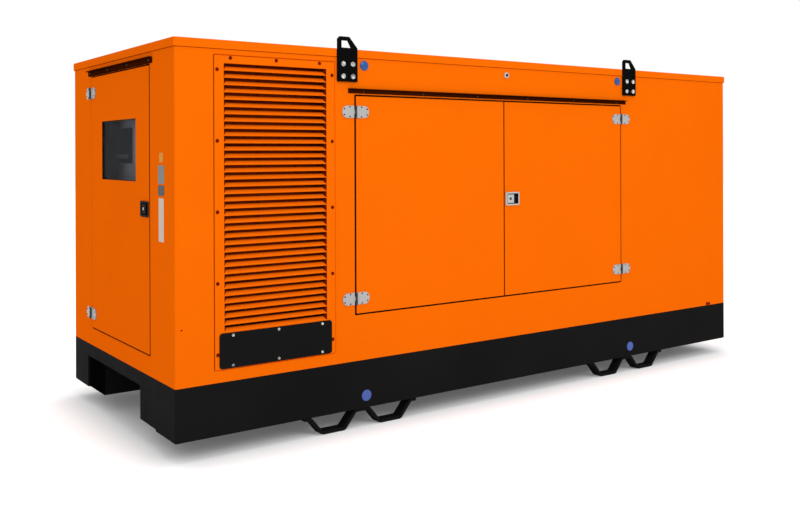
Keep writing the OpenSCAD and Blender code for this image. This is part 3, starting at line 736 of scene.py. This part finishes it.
@dataclass
class Canopy:
    """Orange canopy: walls, roof, louvre panels, foot covers, drip rails and the small trim on them."""

    corner: float = 0.006
    roof_edge: float = 0.005
    grille_edge: float = 0.0015
    sheet_edge: float = 0.0012
    wall_t: float = 0.05
    reveal_depth: float = 0.004
    reveal_inset: float = 0.02
    panel_plain_x: Pair = (0.19, 0.85)
    panel_screw_x: Pair = (0.1965, 0.7825)
    panel_screw_z: Floats = (0.355, 0.667, 0.98, 1.292, 1.605)
    panel_top_x: Floats = (0.26, 0.487, 0.714)
    panel_top_z: float = 1.658
    panel_screw_r: float = 0.009
    panel_screw_h: float = 0.003
    corner_screw: Pair = (0.029, 0.482)
    corner_screw_r: float = 0.004
    corner_screw_h: float = 0.002
    cover_x: Floats = (0.267, 0.4935, 0.7225)
    cover_z: Floats = (0.304, 0.436)
    cover_t: float = 0.004
    cover_bolt: Triple = (0.009, 0.004, 0.0064)
    disc_r: float = 0.024
    disc_places: Floats = (0.964, 2.777)
    disc_z: float = 1.66
    disc_profile: Pairs = (
        (0.0, 0.0), (1.0, 0.0), (1.0, 0.003), (0.82, 0.0062), (0.4, 0.0082), (0.0, 0.0085))
    lock_place: Pair = (1.888, 1.656)
    lock_r: float = 0.017
    lock_profile: Pairs = (
        (0.0, 0.0), (1.0, 0.0), (1.0, 0.004), (0.85, 0.007), (0.55, 0.007), (0.5, 0.004), (0.0, 0.004))
    lock_core: Pair = (0.003, 0.0062)
    tab_x: float = 3.645
    tab_half: float = 0.019
    tab_z: Pair = (0.2365, 0.2525)
    tab_t: float = 0.006
    rail_t: float = 0.004
    side_row: ScrewRow = ScrewRow(6, 0.087, 0.0042, 0.0022)
    end_row: ScrewRow = ScrewRow(4, 0.035, 0.0048, 0.0025)
    # Size of the dark strip that paints the shadow under the end's drip rail
    shadow_strip_h: float = 0.0058
    shadow_strip_t: float = 0.0015
    seal_t: float = 0.0012
    seal_h: float = 0.002
    seal_in: float = 0.002
    slots_x: Pair = (0.228, 0.751)
    slot_first: float = 0.482
    slot_pitch: float = 0.032
    slot_open: float = 0.013
    slot_count: int = 37
    blade_lean: float = 0.016
    cheek_slant: float = 0.016
    cheek_t: float = 0.001
    baffle_x: Pair = (0.065, 0.86)
    baffle_in: float = 0.17
    baffle_t: float = 0.03
    baffle_tile: float = 0.2
    plate_middle: float = WIDTH - 0.152
    plate_t: float = 0.0008
    sunk: float = 0.001

    def build(self) -> None:
        """Builds the canopy."""
        self._walls()
        for face in LONG_SIDES:
            # The louvre panel takes the finish with painted shade in its recesses
            dress(f"{face.name}_louvre_panel", LOUVRE)
            skin(f"{face.name}_foot_cover", BLACK, self.sheet_edge)
            skin(f"drip_rail_{face.name}", DRIP_BLACK, self.sheet_edge)
            self._trim(face)
            self._cheeks(face)
            self._baffle(face)
        skin("drip_rail_end", DRIP_BLACK, self.sheet_edge)
        self._end_trim()
        self._roof_seal()

    def _walls(self) -> None:
        """Softens walls and roof, leaving the joints between them flush."""
        low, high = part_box("front_wall")[0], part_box("rear_wall")[1]
        seams = any_of(on_plane(1, low.y + self.wall_t), on_plane(1, high.y - self.wall_t),
                       on_plane(2, low.z), on_plane(2, high.z))
        for node, face in (("front_wall", FRONT), ("rear_wall", REAR), ("control_end_wall", END)):
            skin(node, ORANGE, self.corner, 3, seams, SecondFinish(RUBBER, self._reveal(node, face)))
        skin("radiator_end_wall", ORANGE, self.corner, 3, seams)
        skin("roof", ORANGE, self.roof_edge, 3, keep_sharp=on_plane(2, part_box("roof")[0].z))
        skin("roof_grille", BLACK, self.grille_edge)

    def _reveal(self, node: str, face: Face) -> FaceTest:
        """Makes a test for the faces of a wall's door openings, behind their front edges.

        Args:
            node: The wall.
            face: The side it stands on.

        Returns:
            The test.
        """
        low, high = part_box(node)
        deep = deep_edges(face, self.reveal_depth)
        plain_from, plain_to = (face.corner.x + x for x in self.panel_plain_x)

        def takes(side: BMFace) -> bool:
            """Tells whether a face belongs to an opening, but not to the louvre panel's.

            Args:
                side: The face.

            Returns:
                Whether it does.
            """
            place = side.calc_center_median()
            if face.axis == 0 and plain_from < place.x < plain_to:
                return False
            return deep(side) and all(low[i] + self.reveal_inset < place[i] < high[i] - self.reveal_inset
                                      for i in (face.axis, 2))

        return takes

    def _trim(self, face: Face) -> None:
        """Adds screws, caps, the key lock and the drain tab of one long side.

        Args:
            face: The side.
        """
        screws = Shape()
        edges = [(x, z) for z in self.panel_screw_z for x in self.panel_screw_x]
        for x, z in edges + [(x, self.panel_top_z) for x in self.panel_top_x]:
            screws.screw(face.point(x, z), face.out, self.panel_screw_r, self.panel_screw_h)
        screws.screw(face.point(*self.corner_screw), face.out, self.corner_screw_r, self.corner_screw_h)
        screws.object(f"panel_screws_{face.name}", PANEL_SCREW)
        bolts = Shape()
        for x in self.cover_x:
            for z in self.cover_z:
                bolts.bolt(face.point(x, z, self.cover_t), face.out, *self.cover_bolt)
        bolts.object(f"cover_bolts_{face.name}", BRIGHT)
        self._rail_screws(face, self.side_row)
        caps = Shape()
        for x in self.disc_places:
            caps.turned(self.disc_profile, face.point(x, self.disc_z), face.out, self.disc_r)
        caps.object(f"wall_caps_{face.name}", GLOSSY_BLUE)
        lock = Shape()
        lock.turned(self.lock_profile, face.point(*self.lock_place), face.out, self.lock_r)
        lock.object(f"key_lock_{face.name}", STEEL)
        core = Shape()
        foot, top = (face.point(*self.lock_place, out) for out in self.lock_core)
        core.rod(foot, top, self.lock_r * 0.42, sides=16, edge=0.0005)
        core.object(f"key_lock_core_{face.name}", PLASTIC)
        tab = Shape()
        tab.slab(face.point(self.tab_x - self.tab_half, self.tab_z[0], self.tab_t),
                 face.point(self.tab_x + self.tab_half, self.tab_z[1]), 0.0025, 3)
        tab.object(f"drain_tab_{face.name}", MAROON)

    def _rail_screws(self, face: Face, row: ScrewRow) -> None:
        """Adds the screws of one side's drip rail.

        Args:
            face: The side.
            row: How they are spaced and how big they are.
        """
        low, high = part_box(f"drip_rail_{face.name}")
        start, stop = low[face.axis] + row.inset, high[face.axis] - row.inset
        screws = Shape()
        for i in range(row.count):
            across = start + i * (stop - start) / (row.count - 1)
            seat = face.at(across, (low.z + high.z - self.rail_t) / 2, -self.rail_t)
            screws.screw(seat, face.out, row.radius, row.height)
        screws.object(f"drip_rail_screws_{face.name}", DARK_METAL_AND_KNUCKLE_SHADE)

    def _cheeks(self, face: Face) -> None:
        """Adds the slanting cheeks that close the ends of one side's louvres, dark brown as painted shade.

        Args:
            face: The side.
        """
        cheeks = Shape()
        for i in range(self.slot_count):
            top = self.slot_first + i * self.slot_pitch
            for x, way in zip(self.slots_x, (1, -1)):
                slant = x + way * self.cheek_slant
                corners = (face.point(x, top - self.slot_pitch, -self.sunk),
                           face.point(x, top - self.sunk, -self.sunk),
                           face.point(slant, top - self.slot_open, -self.blade_lean))
                cheeks.gusset(corners, -way * self.cheek_t * face.along)
        # The cheeks' dark colour is painted shade
        cheeks.object(f"louvre_cheeks_{face.name}", LOUVRE_CHEEK_PAINTED_SHADE)

    def _baffle(self, face: Face) -> None:
        """Adds the tiled baffle behind one side's louvres, from the deck to the roof; its orange-brown colour
        is painted shade seen through the louvre gaps.

        Args:
            face: The side.
        """
        foot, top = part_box("deck")[1].z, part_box("roof")[0].z
        start, stop = self.baffle_x
        middle = face.point((start + stop) / 2, 0.0, -self.baffle_in)
        middle.z = (foot + top) / 2
        pad = Shape()
        pad.tiles(middle, UP.cross(face.out), UP, (stop - start, top - foot), self.baffle_t, self.baffle_tile)
        # The baffle's colour is painted shade
        pad.object(f"inlet_baffle_{face.name}", INLET_PAINTED_SHADE)

    def _roof_seal(self) -> None:
        """Adds the sealing strip under the roof's overhang."""
        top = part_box("roof")[0].z
        foot = top - self.seal_h
        low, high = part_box("front_wall")[0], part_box("rear_wall")[1]
        out, inner = self.seal_t, self.seal_in
        strip = Shape()
        for y, way in ((low.y, -1), (high.y, 1)):
            strip.slab((low.x - out, y + way * out, foot), (high.x + out, y - way * inner, top), THIN_EDGE)
        for x, way in ((low.x, -1), (high.x, 1)):
            strip.slab((x + way * out, low.y + inner, foot), (x - way * inner, high.y - inner, top),
                       THIN_EDGE)
        strip.object("roof_seal", SEAM)

    def _end_trim(self) -> None:
        """Adds the screws of the end's drip rail, a dark strip under it as painted shadow, and the blank
        plates beside the end door.
        """
        self._rail_screws(END, self.end_row)
        low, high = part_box("drip_rail_end")
        # A dark strip under the end's drip rail paints the rail's shadow on the wall
        shadow_strip = Shape()
        shadow_strip.slab(END.at(low.y, low.z - self.shadow_strip_h, -self.shadow_strip_t), END.at(high.y, low.z, self.sunk),
                  FINE_EDGE)
        shadow_strip.object("drip_rail_bead_end", DRIP_BLACK)
        plates = ((0.021, 1.199, 1.241, BLANK_YELLOW), (0.037, 1.105, 1.186, BLANK_GREY),
                  (0.037, 1.052, 1.098, BLANK_DARK), (0.03, 0.85, 1.041, BLANK_WHITE))
        for i, (half, foot, top, finish) in enumerate(plates):
            plate = Shape()
            plate.slab(END.point(self.plate_middle - half, foot, self.plate_t),
                       END.point(self.plate_middle + half, top, -self.sunk), FINE_EDGE)
            plate.object(f"blank_plate_{i}", finish)


@dataclass
class LiftingLugs:
    """Black lug plates with bright hexagon bolts."""

    edge: float = 0.0018
    plate_t: float = 0.012
    starts: Pair = (0.809, 2.82)
    bolt_x: Pair = (0.028, 0.082)
    bolt_z: Pair = (1.603, 1.662)
    bolt_across: float = 0.0225
    bolt_h: float = 0.0055

    def build(self) -> None:
        """Builds the lugs of both sides."""
        for face in LONG_SIDES:
            skin(f"lugs_{face.name}", LUG_BLACK, self.edge)
            bolts = Shape()
            for x in (start + x for start in self.starts for x in self.bolt_x):
                for z in self.bolt_z:
                    bolts.bolt(face.point(x, z, self.plate_t), face.out, self.bolt_across, self.bolt_h)
            bolts.object(f"lug_bolts_{face.name}", BRIGHT)


@dataclass(frozen=True)
class HingeRow:
    """A row of hinge leaves, one over the other on one side of a gap."""

    face: Face
    gap: float
    heights: Pair
    way: int
    on_jamb: bool


@dataclass
class Doors:
    """Side and end doors with their linings, seals, hinges and latches."""

    edge: float = 0.003
    glass_edge: float = 0.0006
    door_t: float = 0.044
    pad_in: float = 0.045
    pad_split_in: float = 0.055
    pad_glass_in: float = 0.03
    pad_sunk: float = 0.002
    pad_t: float = 0.018
    pad_tile: float = 0.18
    stop_in: float = 0.05
    seal_w: float = 0.02
    seal_t: float = 0.003
    seal_past: float = 0.004
    seal_sunk: float = 0.001
    leaf_w: float = 0.076
    leaf_h: float = 0.059
    leaf_t: float = 0.004
    leaf_r: float = 0.0275
    leaf_root: float = 0.008
    leaf_lap: float = 0.001
    knuckle_r: float = 0.005
    knuckle_out: float = 0.0075
    knuckle_play: float = 0.0005
    side_hinge_z: Pair = (0.535, 1.435)
    end_hinge_z: Pair = (0.402, 1.554)
    side_gaps: Pair = (0.9135, 2.8075)
    end_gap: float = 0.2965
    leaf_screws: Pairs = ((0.033, 0.0235), (0.033, -0.0235), (0.065, 0.014), (0.065, -0.014))
    leaf_screw_r: float = 0.0042
    leaf_screw_h: float = 0.0012
    latch_edge: float = 0.0012
    paddle_edge: float = 0.001
    cup_lip: float = 0.001
    cup_rim: float = 0.009
    cup_depth: float = 0.0192
    cup_half: float = 0.0006
    key_out: float = 0.002
    key_profile: Pairs = (
        (0.0, 0.0), (0.0075, 0.0), (0.0075, 0.0016), (0.006, 0.0024), (0.0, 0.0024))

    def build(self) -> None:
        """Builds the doors."""
        leaves = {"left_door": FRONT, "right_door": FRONT, "end_door": END, "rear_doors": REAR}
        for node, face in leaves.items():
            skin(node, ORANGE, self.edge, 3, second=SecondFinish(RUBBER, deep_edges(face, self.edge)))
        skin("end_window", TINTED, self.glass_edge)
        self._hinges()
        self._linings()
        self._seals()
        self._latches()

    def _leaves(self, row: HingeRow, plates: Shape, barrels: Shape, screws: Shape) -> None:
        """Adds one row of hinge leaves.

        Args:
            row: Where they are.
            plates: Where the plates go.
            barrels: Where the knuckles go.
            screws: Where the screws go.
        """
        face, gap, way = row.face, row.gap, row.way
        half, sixth = self.leaf_h / 2, self.leaf_h / 6
        spans = ((-sixth, sixth),) if row.on_jamb else ((-half, -sixth), (sixth, half))
        root = gap + way * self.leaf_root
        for z in row.heights:
            plates.rounded_plate(face, (gap + way * self.leaf_w, z - half), (root, z + half), self.leaf_t,
                                 self.leaf_r)
            for span in spans:
                foot, top = z + span[0] + self.knuckle_play, z + span[1] - self.knuckle_play
                barrels.rod(face.point(gap, foot, self.knuckle_out), face.point(gap, top, self.knuckle_out),
                            self.knuckle_r, edge=0.0008)
                plates.slab(face.point(gap, foot),
                            face.point(root + way * self.leaf_lap, top, self.leaf_t), THIN_EDGE)
            for along, up in self.leaf_screws:
                screws.screw(face.point(gap + way * along, z + up, self.leaf_t), face.out, self.leaf_screw_r,
                             self.leaf_screw_h)

    def _hinges(self) -> None:
        """Adds the hinges of all doors in place of their plain leaves."""
        left, right = self.side_gaps
        sides, ends = self.side_hinge_z, self.end_hinge_z
        rows = {
            "jamb_hinges": (HingeRow(FRONT, left, sides, -1, True), HingeRow(FRONT, right, sides, 1, True),
                            HingeRow(END, self.end_gap, ends, -1, True)),
            "left_door_hinges": (HingeRow(FRONT, left, sides, 1, False),),
            "right_door_hinges": (HingeRow(FRONT, right, sides, -1, False),),
            "end_door_hinges": (HingeRow(END, self.end_gap, ends, 1, False),),
            "rear_hinges": (HingeRow(REAR, left, sides, -1, True), HingeRow(REAR, left, sides, 1, False),
                            HingeRow(REAR, right, sides, 1, True), HingeRow(REAR, right, sides, -1, False)),
        }
        for node, leaves in rows.items():
            plates, barrels, screws = Shape(), Shape(), Shape()
            for row in leaves:
                self._leaves(row, plates, barrels, screws)
            plates.object(f"{node}_plates", ZINC, NODE_BODY[node], [node])
            # The knuckles' dark colour is painted shade
            barrels.object(f"{node}_barrels", DARK_METAL_AND_KNUCKLE_SHADE, NODE_BODY[node])
            screws.object(f"{node}_screws", DARK_SCREW, NODE_BODY[node])

    def _pads(self, name: str, face: Face, body: str, spans: Sequence[Pair], heights: Sequence[Pair]) -> None:
        """Adds the lining pads on the back of a door.

        Args:
            name: Piece name.
            face: The side the door is on.
            body: CAD body that carries them.
            spans: Where the pads start and end along the side.
            heights: Where they start and end in height.
        """
        pad = Shape()
        for start, stop in spans:
            for foot, top in heights:
                middle = face.at((start + stop) / 2, (foot + top) / 2, self.door_t - self.pad_sunk)
                size = (stop - start, top - foot)
                pad.tiles(middle, face.out.cross(UP), UP, size, self.pad_t, self.pad_tile)
        pad.object(name, FOAM, body)

    def _linings(self) -> None:
        """Adds the linings of all doors."""
        rim, gap = self.pad_in, self.pad_split_in
        for node in ("left_door", "right_door"):
            low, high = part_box(node)
            spans, heights = ([(low[i] + rim, high[i] - rim)] for i in (0, 2))
            self._pads(f"{node}_lining", FRONT, node, spans, heights)
        low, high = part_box("end_door")
        glass_low, glass_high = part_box("end_window")
        heights = [(low.z + rim, glass_low.z - self.pad_glass_in),
                   (glass_high.z + self.pad_glass_in, high.z - rim)]
        self._pads("end_door_lining", END, "end_door", [(low.y + rim, high.y - rim)], heights)
        low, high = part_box("rear_doors")
        middle = (low.x + high.x) / 2
        spans = [(a + gap, b - gap) for a, b in ((low.x, middle), (middle, high.x))]
        self._pads("rear_door_lining", REAR, "set", spans, [(low.z + rim, high.z - rim)])

    def _seal(self, name: str, face: Face, box: tuple[Vector, Vector], splits: Sequence[float] = ()) -> None:
        """Adds the rubber seal round an opening, on its stop frame.

        Args:
            name: Piece name.
            face: The side the opening is in.
            box: Lowest and highest corner of what closes it.
            splits: Where doors meet along the side.
        """
        low, high = box
        start, stop = low[face.axis], high[face.axis]
        wide, past = self.seal_w, self.seal_past
        feet = (low.z - past, high.z - wide + past)
        sides = (start - past, *(split - wide / 2 for split in splits), stop - wide + past)
        strips = [(start - past, stop + past, foot, foot + wide) for foot in feet]
        strips += [(side, side + wide, low.z, high.z) for side in sides]
        seal = Shape()
        for first, last, foot, top in strips:
            seal.slab(face.at(first, foot, self.stop_in - self.seal_t),
                      face.at(last, top, self.stop_in + self.seal_sunk), SOFT_EDGE)
        seal.object(name, RUBBER)

    def _seals(self) -> None:
        """Adds the seals of all doors."""
        left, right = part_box("left_door"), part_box("right_door")
        split = (left[1].x + right[0].x) / 2
        self._seal("side_door_seal", FRONT, (left[0], right[1]), [split])
        self._seal("end_door_seal", END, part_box("end_door"))
        self._seal("rear_door_seal", REAR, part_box("rear_doors"), [split])

    def _latches(self) -> None:
        """Dresses the latches and adds their cup floors and key cylinders; the cups' deep faces and floors
        are dark as painted shade.
        """
        for latch, paddle, face, metal, key_metal in (("side_latch", "side_paddle", FRONT, STEEL, DARK_METAL_AND_KNUCKLE_SHADE),
                                                      ("end_latch", "end_paddle", END, PLASTIC, BRIGHT)):
            # The cup's deep faces take a dark finish as painted shade
            cup = SecondFinish(LATCH_CUP_PAINTED_SHADE, sunk_behind(face, self.cup_lip))
            skin(latch, metal, self.latch_edge, second=cup)
            skin(paddle, metal, self.paddle_edge)
            low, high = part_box(paddle)
            key = Shape()
            key.turned(self.key_profile, (low + high) / 2 + face.out * self.key_out, face.out)
            key.object(f"{paddle}_key", key_metal, NODE_BODY[paddle])
            low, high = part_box(latch)
            rim, axis = self.cup_rim, face.axis
            # The cup floor is a dark sheet that paints the recess's shade
            floor = Shape()
            floor.slab(face.at(low[axis] + rim, low.z + rim, self.cup_depth - self.cup_half),
                       face.at(high[axis] - rim, high.z - rim, self.cup_depth + self.cup_half), FINE_EDGE)
            floor.object(f"{latch}_cup_floor", LATCH_CUP_PAINTED_SHADE, NODE_BODY[latch])
        skin("rear_latch", STEEL, self.latch_edge)


@dataclass
class ControlStand:
    """Control cabinet behind the end door's window, with its plain controller, buttons and stop knob."""

    edge: float = 0.004
    face_in: float = 0.115
    middle: float = WIDTH / 2
    foot: float = 1.108
    bezel: tuple[Triple, Triple] = ((-0.34, 0.08, 0.0), (-0.12, 0.26, 0.012))
    screen: tuple[Triple, Triple] = ((-0.32, 0.15, 0.011), (-0.14, 0.245, 0.0135))
    button_first: Triple = (-0.305, 0.115, 0.012)
    button_pitch: float = 0.037
    button_count: int = 5
    button_profile: Pairs = ((0.0, 0.0), (0.011, 0.0), (0.011, 0.004), (0.009, 0.006), (0.0, 0.006))
    knob_place: Triple = (0.13, 0.17, 0.0)
    knob_profile: Pairs = (
        (0.0, 0.0), (0.014, 0.0), (0.014, 0.02), (0.026, 0.022), (0.028, 0.03), (0.022, 0.037), (0.0, 0.04))
    switch_place: Triple = (0.13, 0.07, 0.0)
    switch_profile: Pairs = (
        (0.0, 0.0), (0.02, 0.0), (0.02, 0.006), (0.012, 0.008), (0.012, 0.02), (0.0, 0.021))

    def build(self) -> None:
        """Builds the cabinet and the fittings on its face."""
        skin("control_cabinet", CABINET, self.edge)
        bezel = Shape()
        bezel.slab(*(self._spot(*corner) for corner in self.bezel), self.edge)
        bezel.object("controller_bezel", PLASTIC)
        screen = Shape()
        screen.slab(*(self._spot(*corner) for corner in self.screen), SOFT_EDGE)
        screen.object("controller_screen_glass", SCREEN)
        buttons = Shape()
        along, up, out = self.button_first
        for i in range(self.button_count):
            seat = self._spot(along + i * self.button_pitch, up, out)
            buttons.turned(self.button_profile, seat, END.out, steps=16)
        buttons.object("controller_buttons", BLANK_GREY)
        knob = Shape()
        knob.turned(self.knob_profile, self._spot(*self.knob_place), END.out)
        knob.object("stop_knob", RED)
        switch = Shape()
        switch.turned(self.switch_profile, self._spot(*self.switch_place), END.out)
        switch.object("key_switch", STEEL)

    def _spot(self, along: float, up: float, out: float) -> Vector:
        """Gives a place on the cabinet's face, counted from the middle of its lower edge."""
        return END.point(self.middle + along, self.foot + up, out - self.face_in)


@dataclass
class RunningGear:
    """Engine, alternator, radiator, exhaust, battery and what else stands on the deck."""

    pieces: tuple[tuple[str, Finish, float], ...] = (
        ("set_rails", BLACK, 0.003), ("alternator", ALTERNATOR_ENAMEL, 0.004),
        ("engine", ENGINE_ENAMEL, 0.006), ("fan", PLASTIC, 0.0015), ("radiator", CORE, 0.003),
        ("exhaust", RUSTED, 0.002), ("silencer", HOT_STEEL, 0.004), ("air_cleaner", PLASTIC, 0.004),
        ("battery", PLASTIC, 0.006))
    lining_ends: Pair = (0.09, 0.04)
    lining_sides: float = 0.1
    lining_t: float = 0.03
    lining_tile: float = 0.3

    def build(self) -> None:
        """Builds the running gear and the lining over it."""
        for node, finish, edge in self.pieces:
            skin(node, finish, edge)
        low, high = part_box("roof")
        start = low.x + self.lining_ends[0]
        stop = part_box("roof_grille")[0].x - self.lining_ends[1]
        pad = Shape()
        pad.tiles(Vector(((start + stop) / 2, 0.0, low.z)), Vector((1, 0, 0)), Vector((0, -1, 0)),
                  (stop - start, high.y - low.y - 2 * self.lining_sides), self.lining_t, self.lining_tile)
        pad.object("roof_lining", FOAM)


@dataclass(frozen=True)
class SoftBox:
    """A square soft lamp."""

    name: str
    place: Triple
    aim: Triple
    size: float
    power: float


@dataclass
class Studio:
    """Camera, light and floor of a white product photograph."""

    spot: Triple = (-3.391, -4.4567, 1.3275)
    heading: float = math.radians(-35.487)
    roll: float = math.radians(0.2)
    lens: float = 41.413
    sensor: float = 36.0
    shift_y: float = -0.12697
    light: float = 0.8
    lamps: tuple[SoftBox, ...] = (
        SoftBox("side_soft_box", (-0.6, -7.5, 5.5), (0.0, -0.7, 0.9), 4.0, 168.0),
        SoftBox("top_soft_box", (0.0, 0.0, 7.0), (0.0, 0.0, 0.0), 6.0, 150.0))
    floor_size: float = 60.0
    floor_grey: float = 0.8
    footprint: Pair = (1.76, 0.57)
    shade_reach: float = 0.42
    floor_lift: Pair = (0.093, 0.5)

    def build(self) -> None:
        """Builds the studio."""
        bpy.context.scene.view_settings.view_transform = "Standard"
        self._camera()
        self._world()
        for lamp in self.lamps:
            self._lamp(lamp)
        self._floor()

    def _camera(self) -> None:
        """Adds the camera, held level but for a slight roll."""
        data = bpy.data.cameras.new("camera")
        data.lens = self.lens
        data.sensor_width = self.sensor
        data.shift_y = self.shift_y
        made = bpy.data.objects.new("camera", data)
        made.location = self.spot
        made.rotation_euler = (math.pi / 2, self.roll, self.heading)
        bpy.context.scene.collection.objects.link(made)
        bpy.context.scene.camera = made

    def _seen(self, graph: Graph) -> Socket:
        """Adds a value that is 1 on camera, glossy and transmission rays.

        Args:
            graph: The nodes to add to.

        Returns:
            The value.
        """
        path = graph.add("LightPath")
        total = path.outputs["Is Camera Ray"]
        for name in ("Is Glossy Ray", "Is Transmission Ray"):
            total = graph.add("Math", {0: total, 1: path.outputs[name]}, operation="MAXIMUM").outputs["Value"]
        return total

    def _world(self) -> None:
        """Adds the even light all round, white where it is seen."""
        world = bpy.data.worlds.new("studio")
        bpy.context.scene.world = world
        world.use_nodes = True
        world.node_tree.nodes.clear()
        graph = Graph(world.node_tree)
        white = (1.0, 1.0, 1.0, 1.0)
        light, seen = (graph.add("Background", {"Color": white, "Strength": strength}).outputs["Background"]
                       for strength in (self.light, 1.0))
        mix = graph.add("MixShader", {"Fac": self._seen(graph), 1: light, 2: seen})
        graph.add("OutputWorld", {"Surface": mix.outputs["Shader"]})

    def _lamp(self, lamp: SoftBox) -> None:
        """Adds a soft lamp.

        Args:
            lamp: Where it stands and how bright it is.
        """
        data = bpy.data.lights.new(lamp.name, "AREA")
        data.size = lamp.size
        data.energy = lamp.power
        made = bpy.data.objects.new(lamp.name, data)
        made.location = lamp.place
        made.rotation_euler = (Vector(lamp.aim) - Vector(lamp.place)).to_track_quat("-Z", "Y").to_euler()
        bpy.context.scene.collection.objects.link(made)

    def _lift(self, graph: Graph) -> Socket:
        """Adds a value that grows from the set's footprint outwards, for a floor that is white away from it;
        its low value near the set paints part of the shadow.

        Args:
            graph: The floor's nodes.

        Returns:
            The value.
        """
        place = graph.add("TexCoord").outputs["Object"]
        place = graph.add("VectorMath", {0: place}, operation="ABSOLUTE").outputs["Vector"]
        for operation, vector in (("SUBTRACT", (*self.footprint, 1.0)), ("MAXIMUM", (0.0, 0.0, 0.0))):
            place = graph.add("VectorMath", {0: place, 1: vector}, operation=operation).outputs["Vector"]
        far = graph.add("VectorMath", {0: place}, operation="LENGTH").outputs["Value"]
        return graph.spread(far, (0.0, self.shade_reach), self.floor_lift, interpolation_type="SMOOTHSTEP")

    def _floor(self) -> None:
        """Adds the white floor, which keeps the shadow, partly painted by a glow on camera rays that is
        weaker near the set.
        """
        sheet = bmesh.new()
        bmesh.ops.create_grid(sheet, x_segments=1, y_segments=1, size=self.floor_size / 2)
        mesh = bpy.data.meshes.new("floor")
        sheet.to_mesh(mesh)
        sheet.free()
        made = bpy.data.objects.new("floor", mesh)
        bpy.context.scene.collection.objects.link(made)
        paint = bpy.data.materials.new("studio_floor")
        paint.use_nodes = True
        paint.node_tree.nodes.clear()
        graph = Graph(paint.node_tree)
        matt = graph.add("BsdfDiffuse", {"Color": (*[self.floor_grey] * 3, 1.0)})
        # Glow on camera rays, low near the set, paints the shadow's falloff
        lift = graph.add("Math", {0: self._seen(graph), 1: self._lift(graph)}, operation="MULTIPLY")
        glow = graph.add("Emission", {"Strength": lift.outputs["Value"]})
        both = graph.add("AddShader", {0: matt.outputs["BSDF"], 1: glow.outputs["Emission"]})
        graph.add("OutputMaterial", {"Surface": both.outputs["Shader"]})
        made.data.materials.append(paint)


def main() -> None:
    """Builds the set and its studio."""
    logging.basicConfig(level=logging.INFO, format="%(name)s %(message)s")
    for part in (Studio(), Base(), Canopy(), LiftingLugs(), Doors(), ControlStand(), RunningGear()):
        LOG.info("building %s", type(part).__name__)
        part.build()


if __name__ == "__main__":
    main()
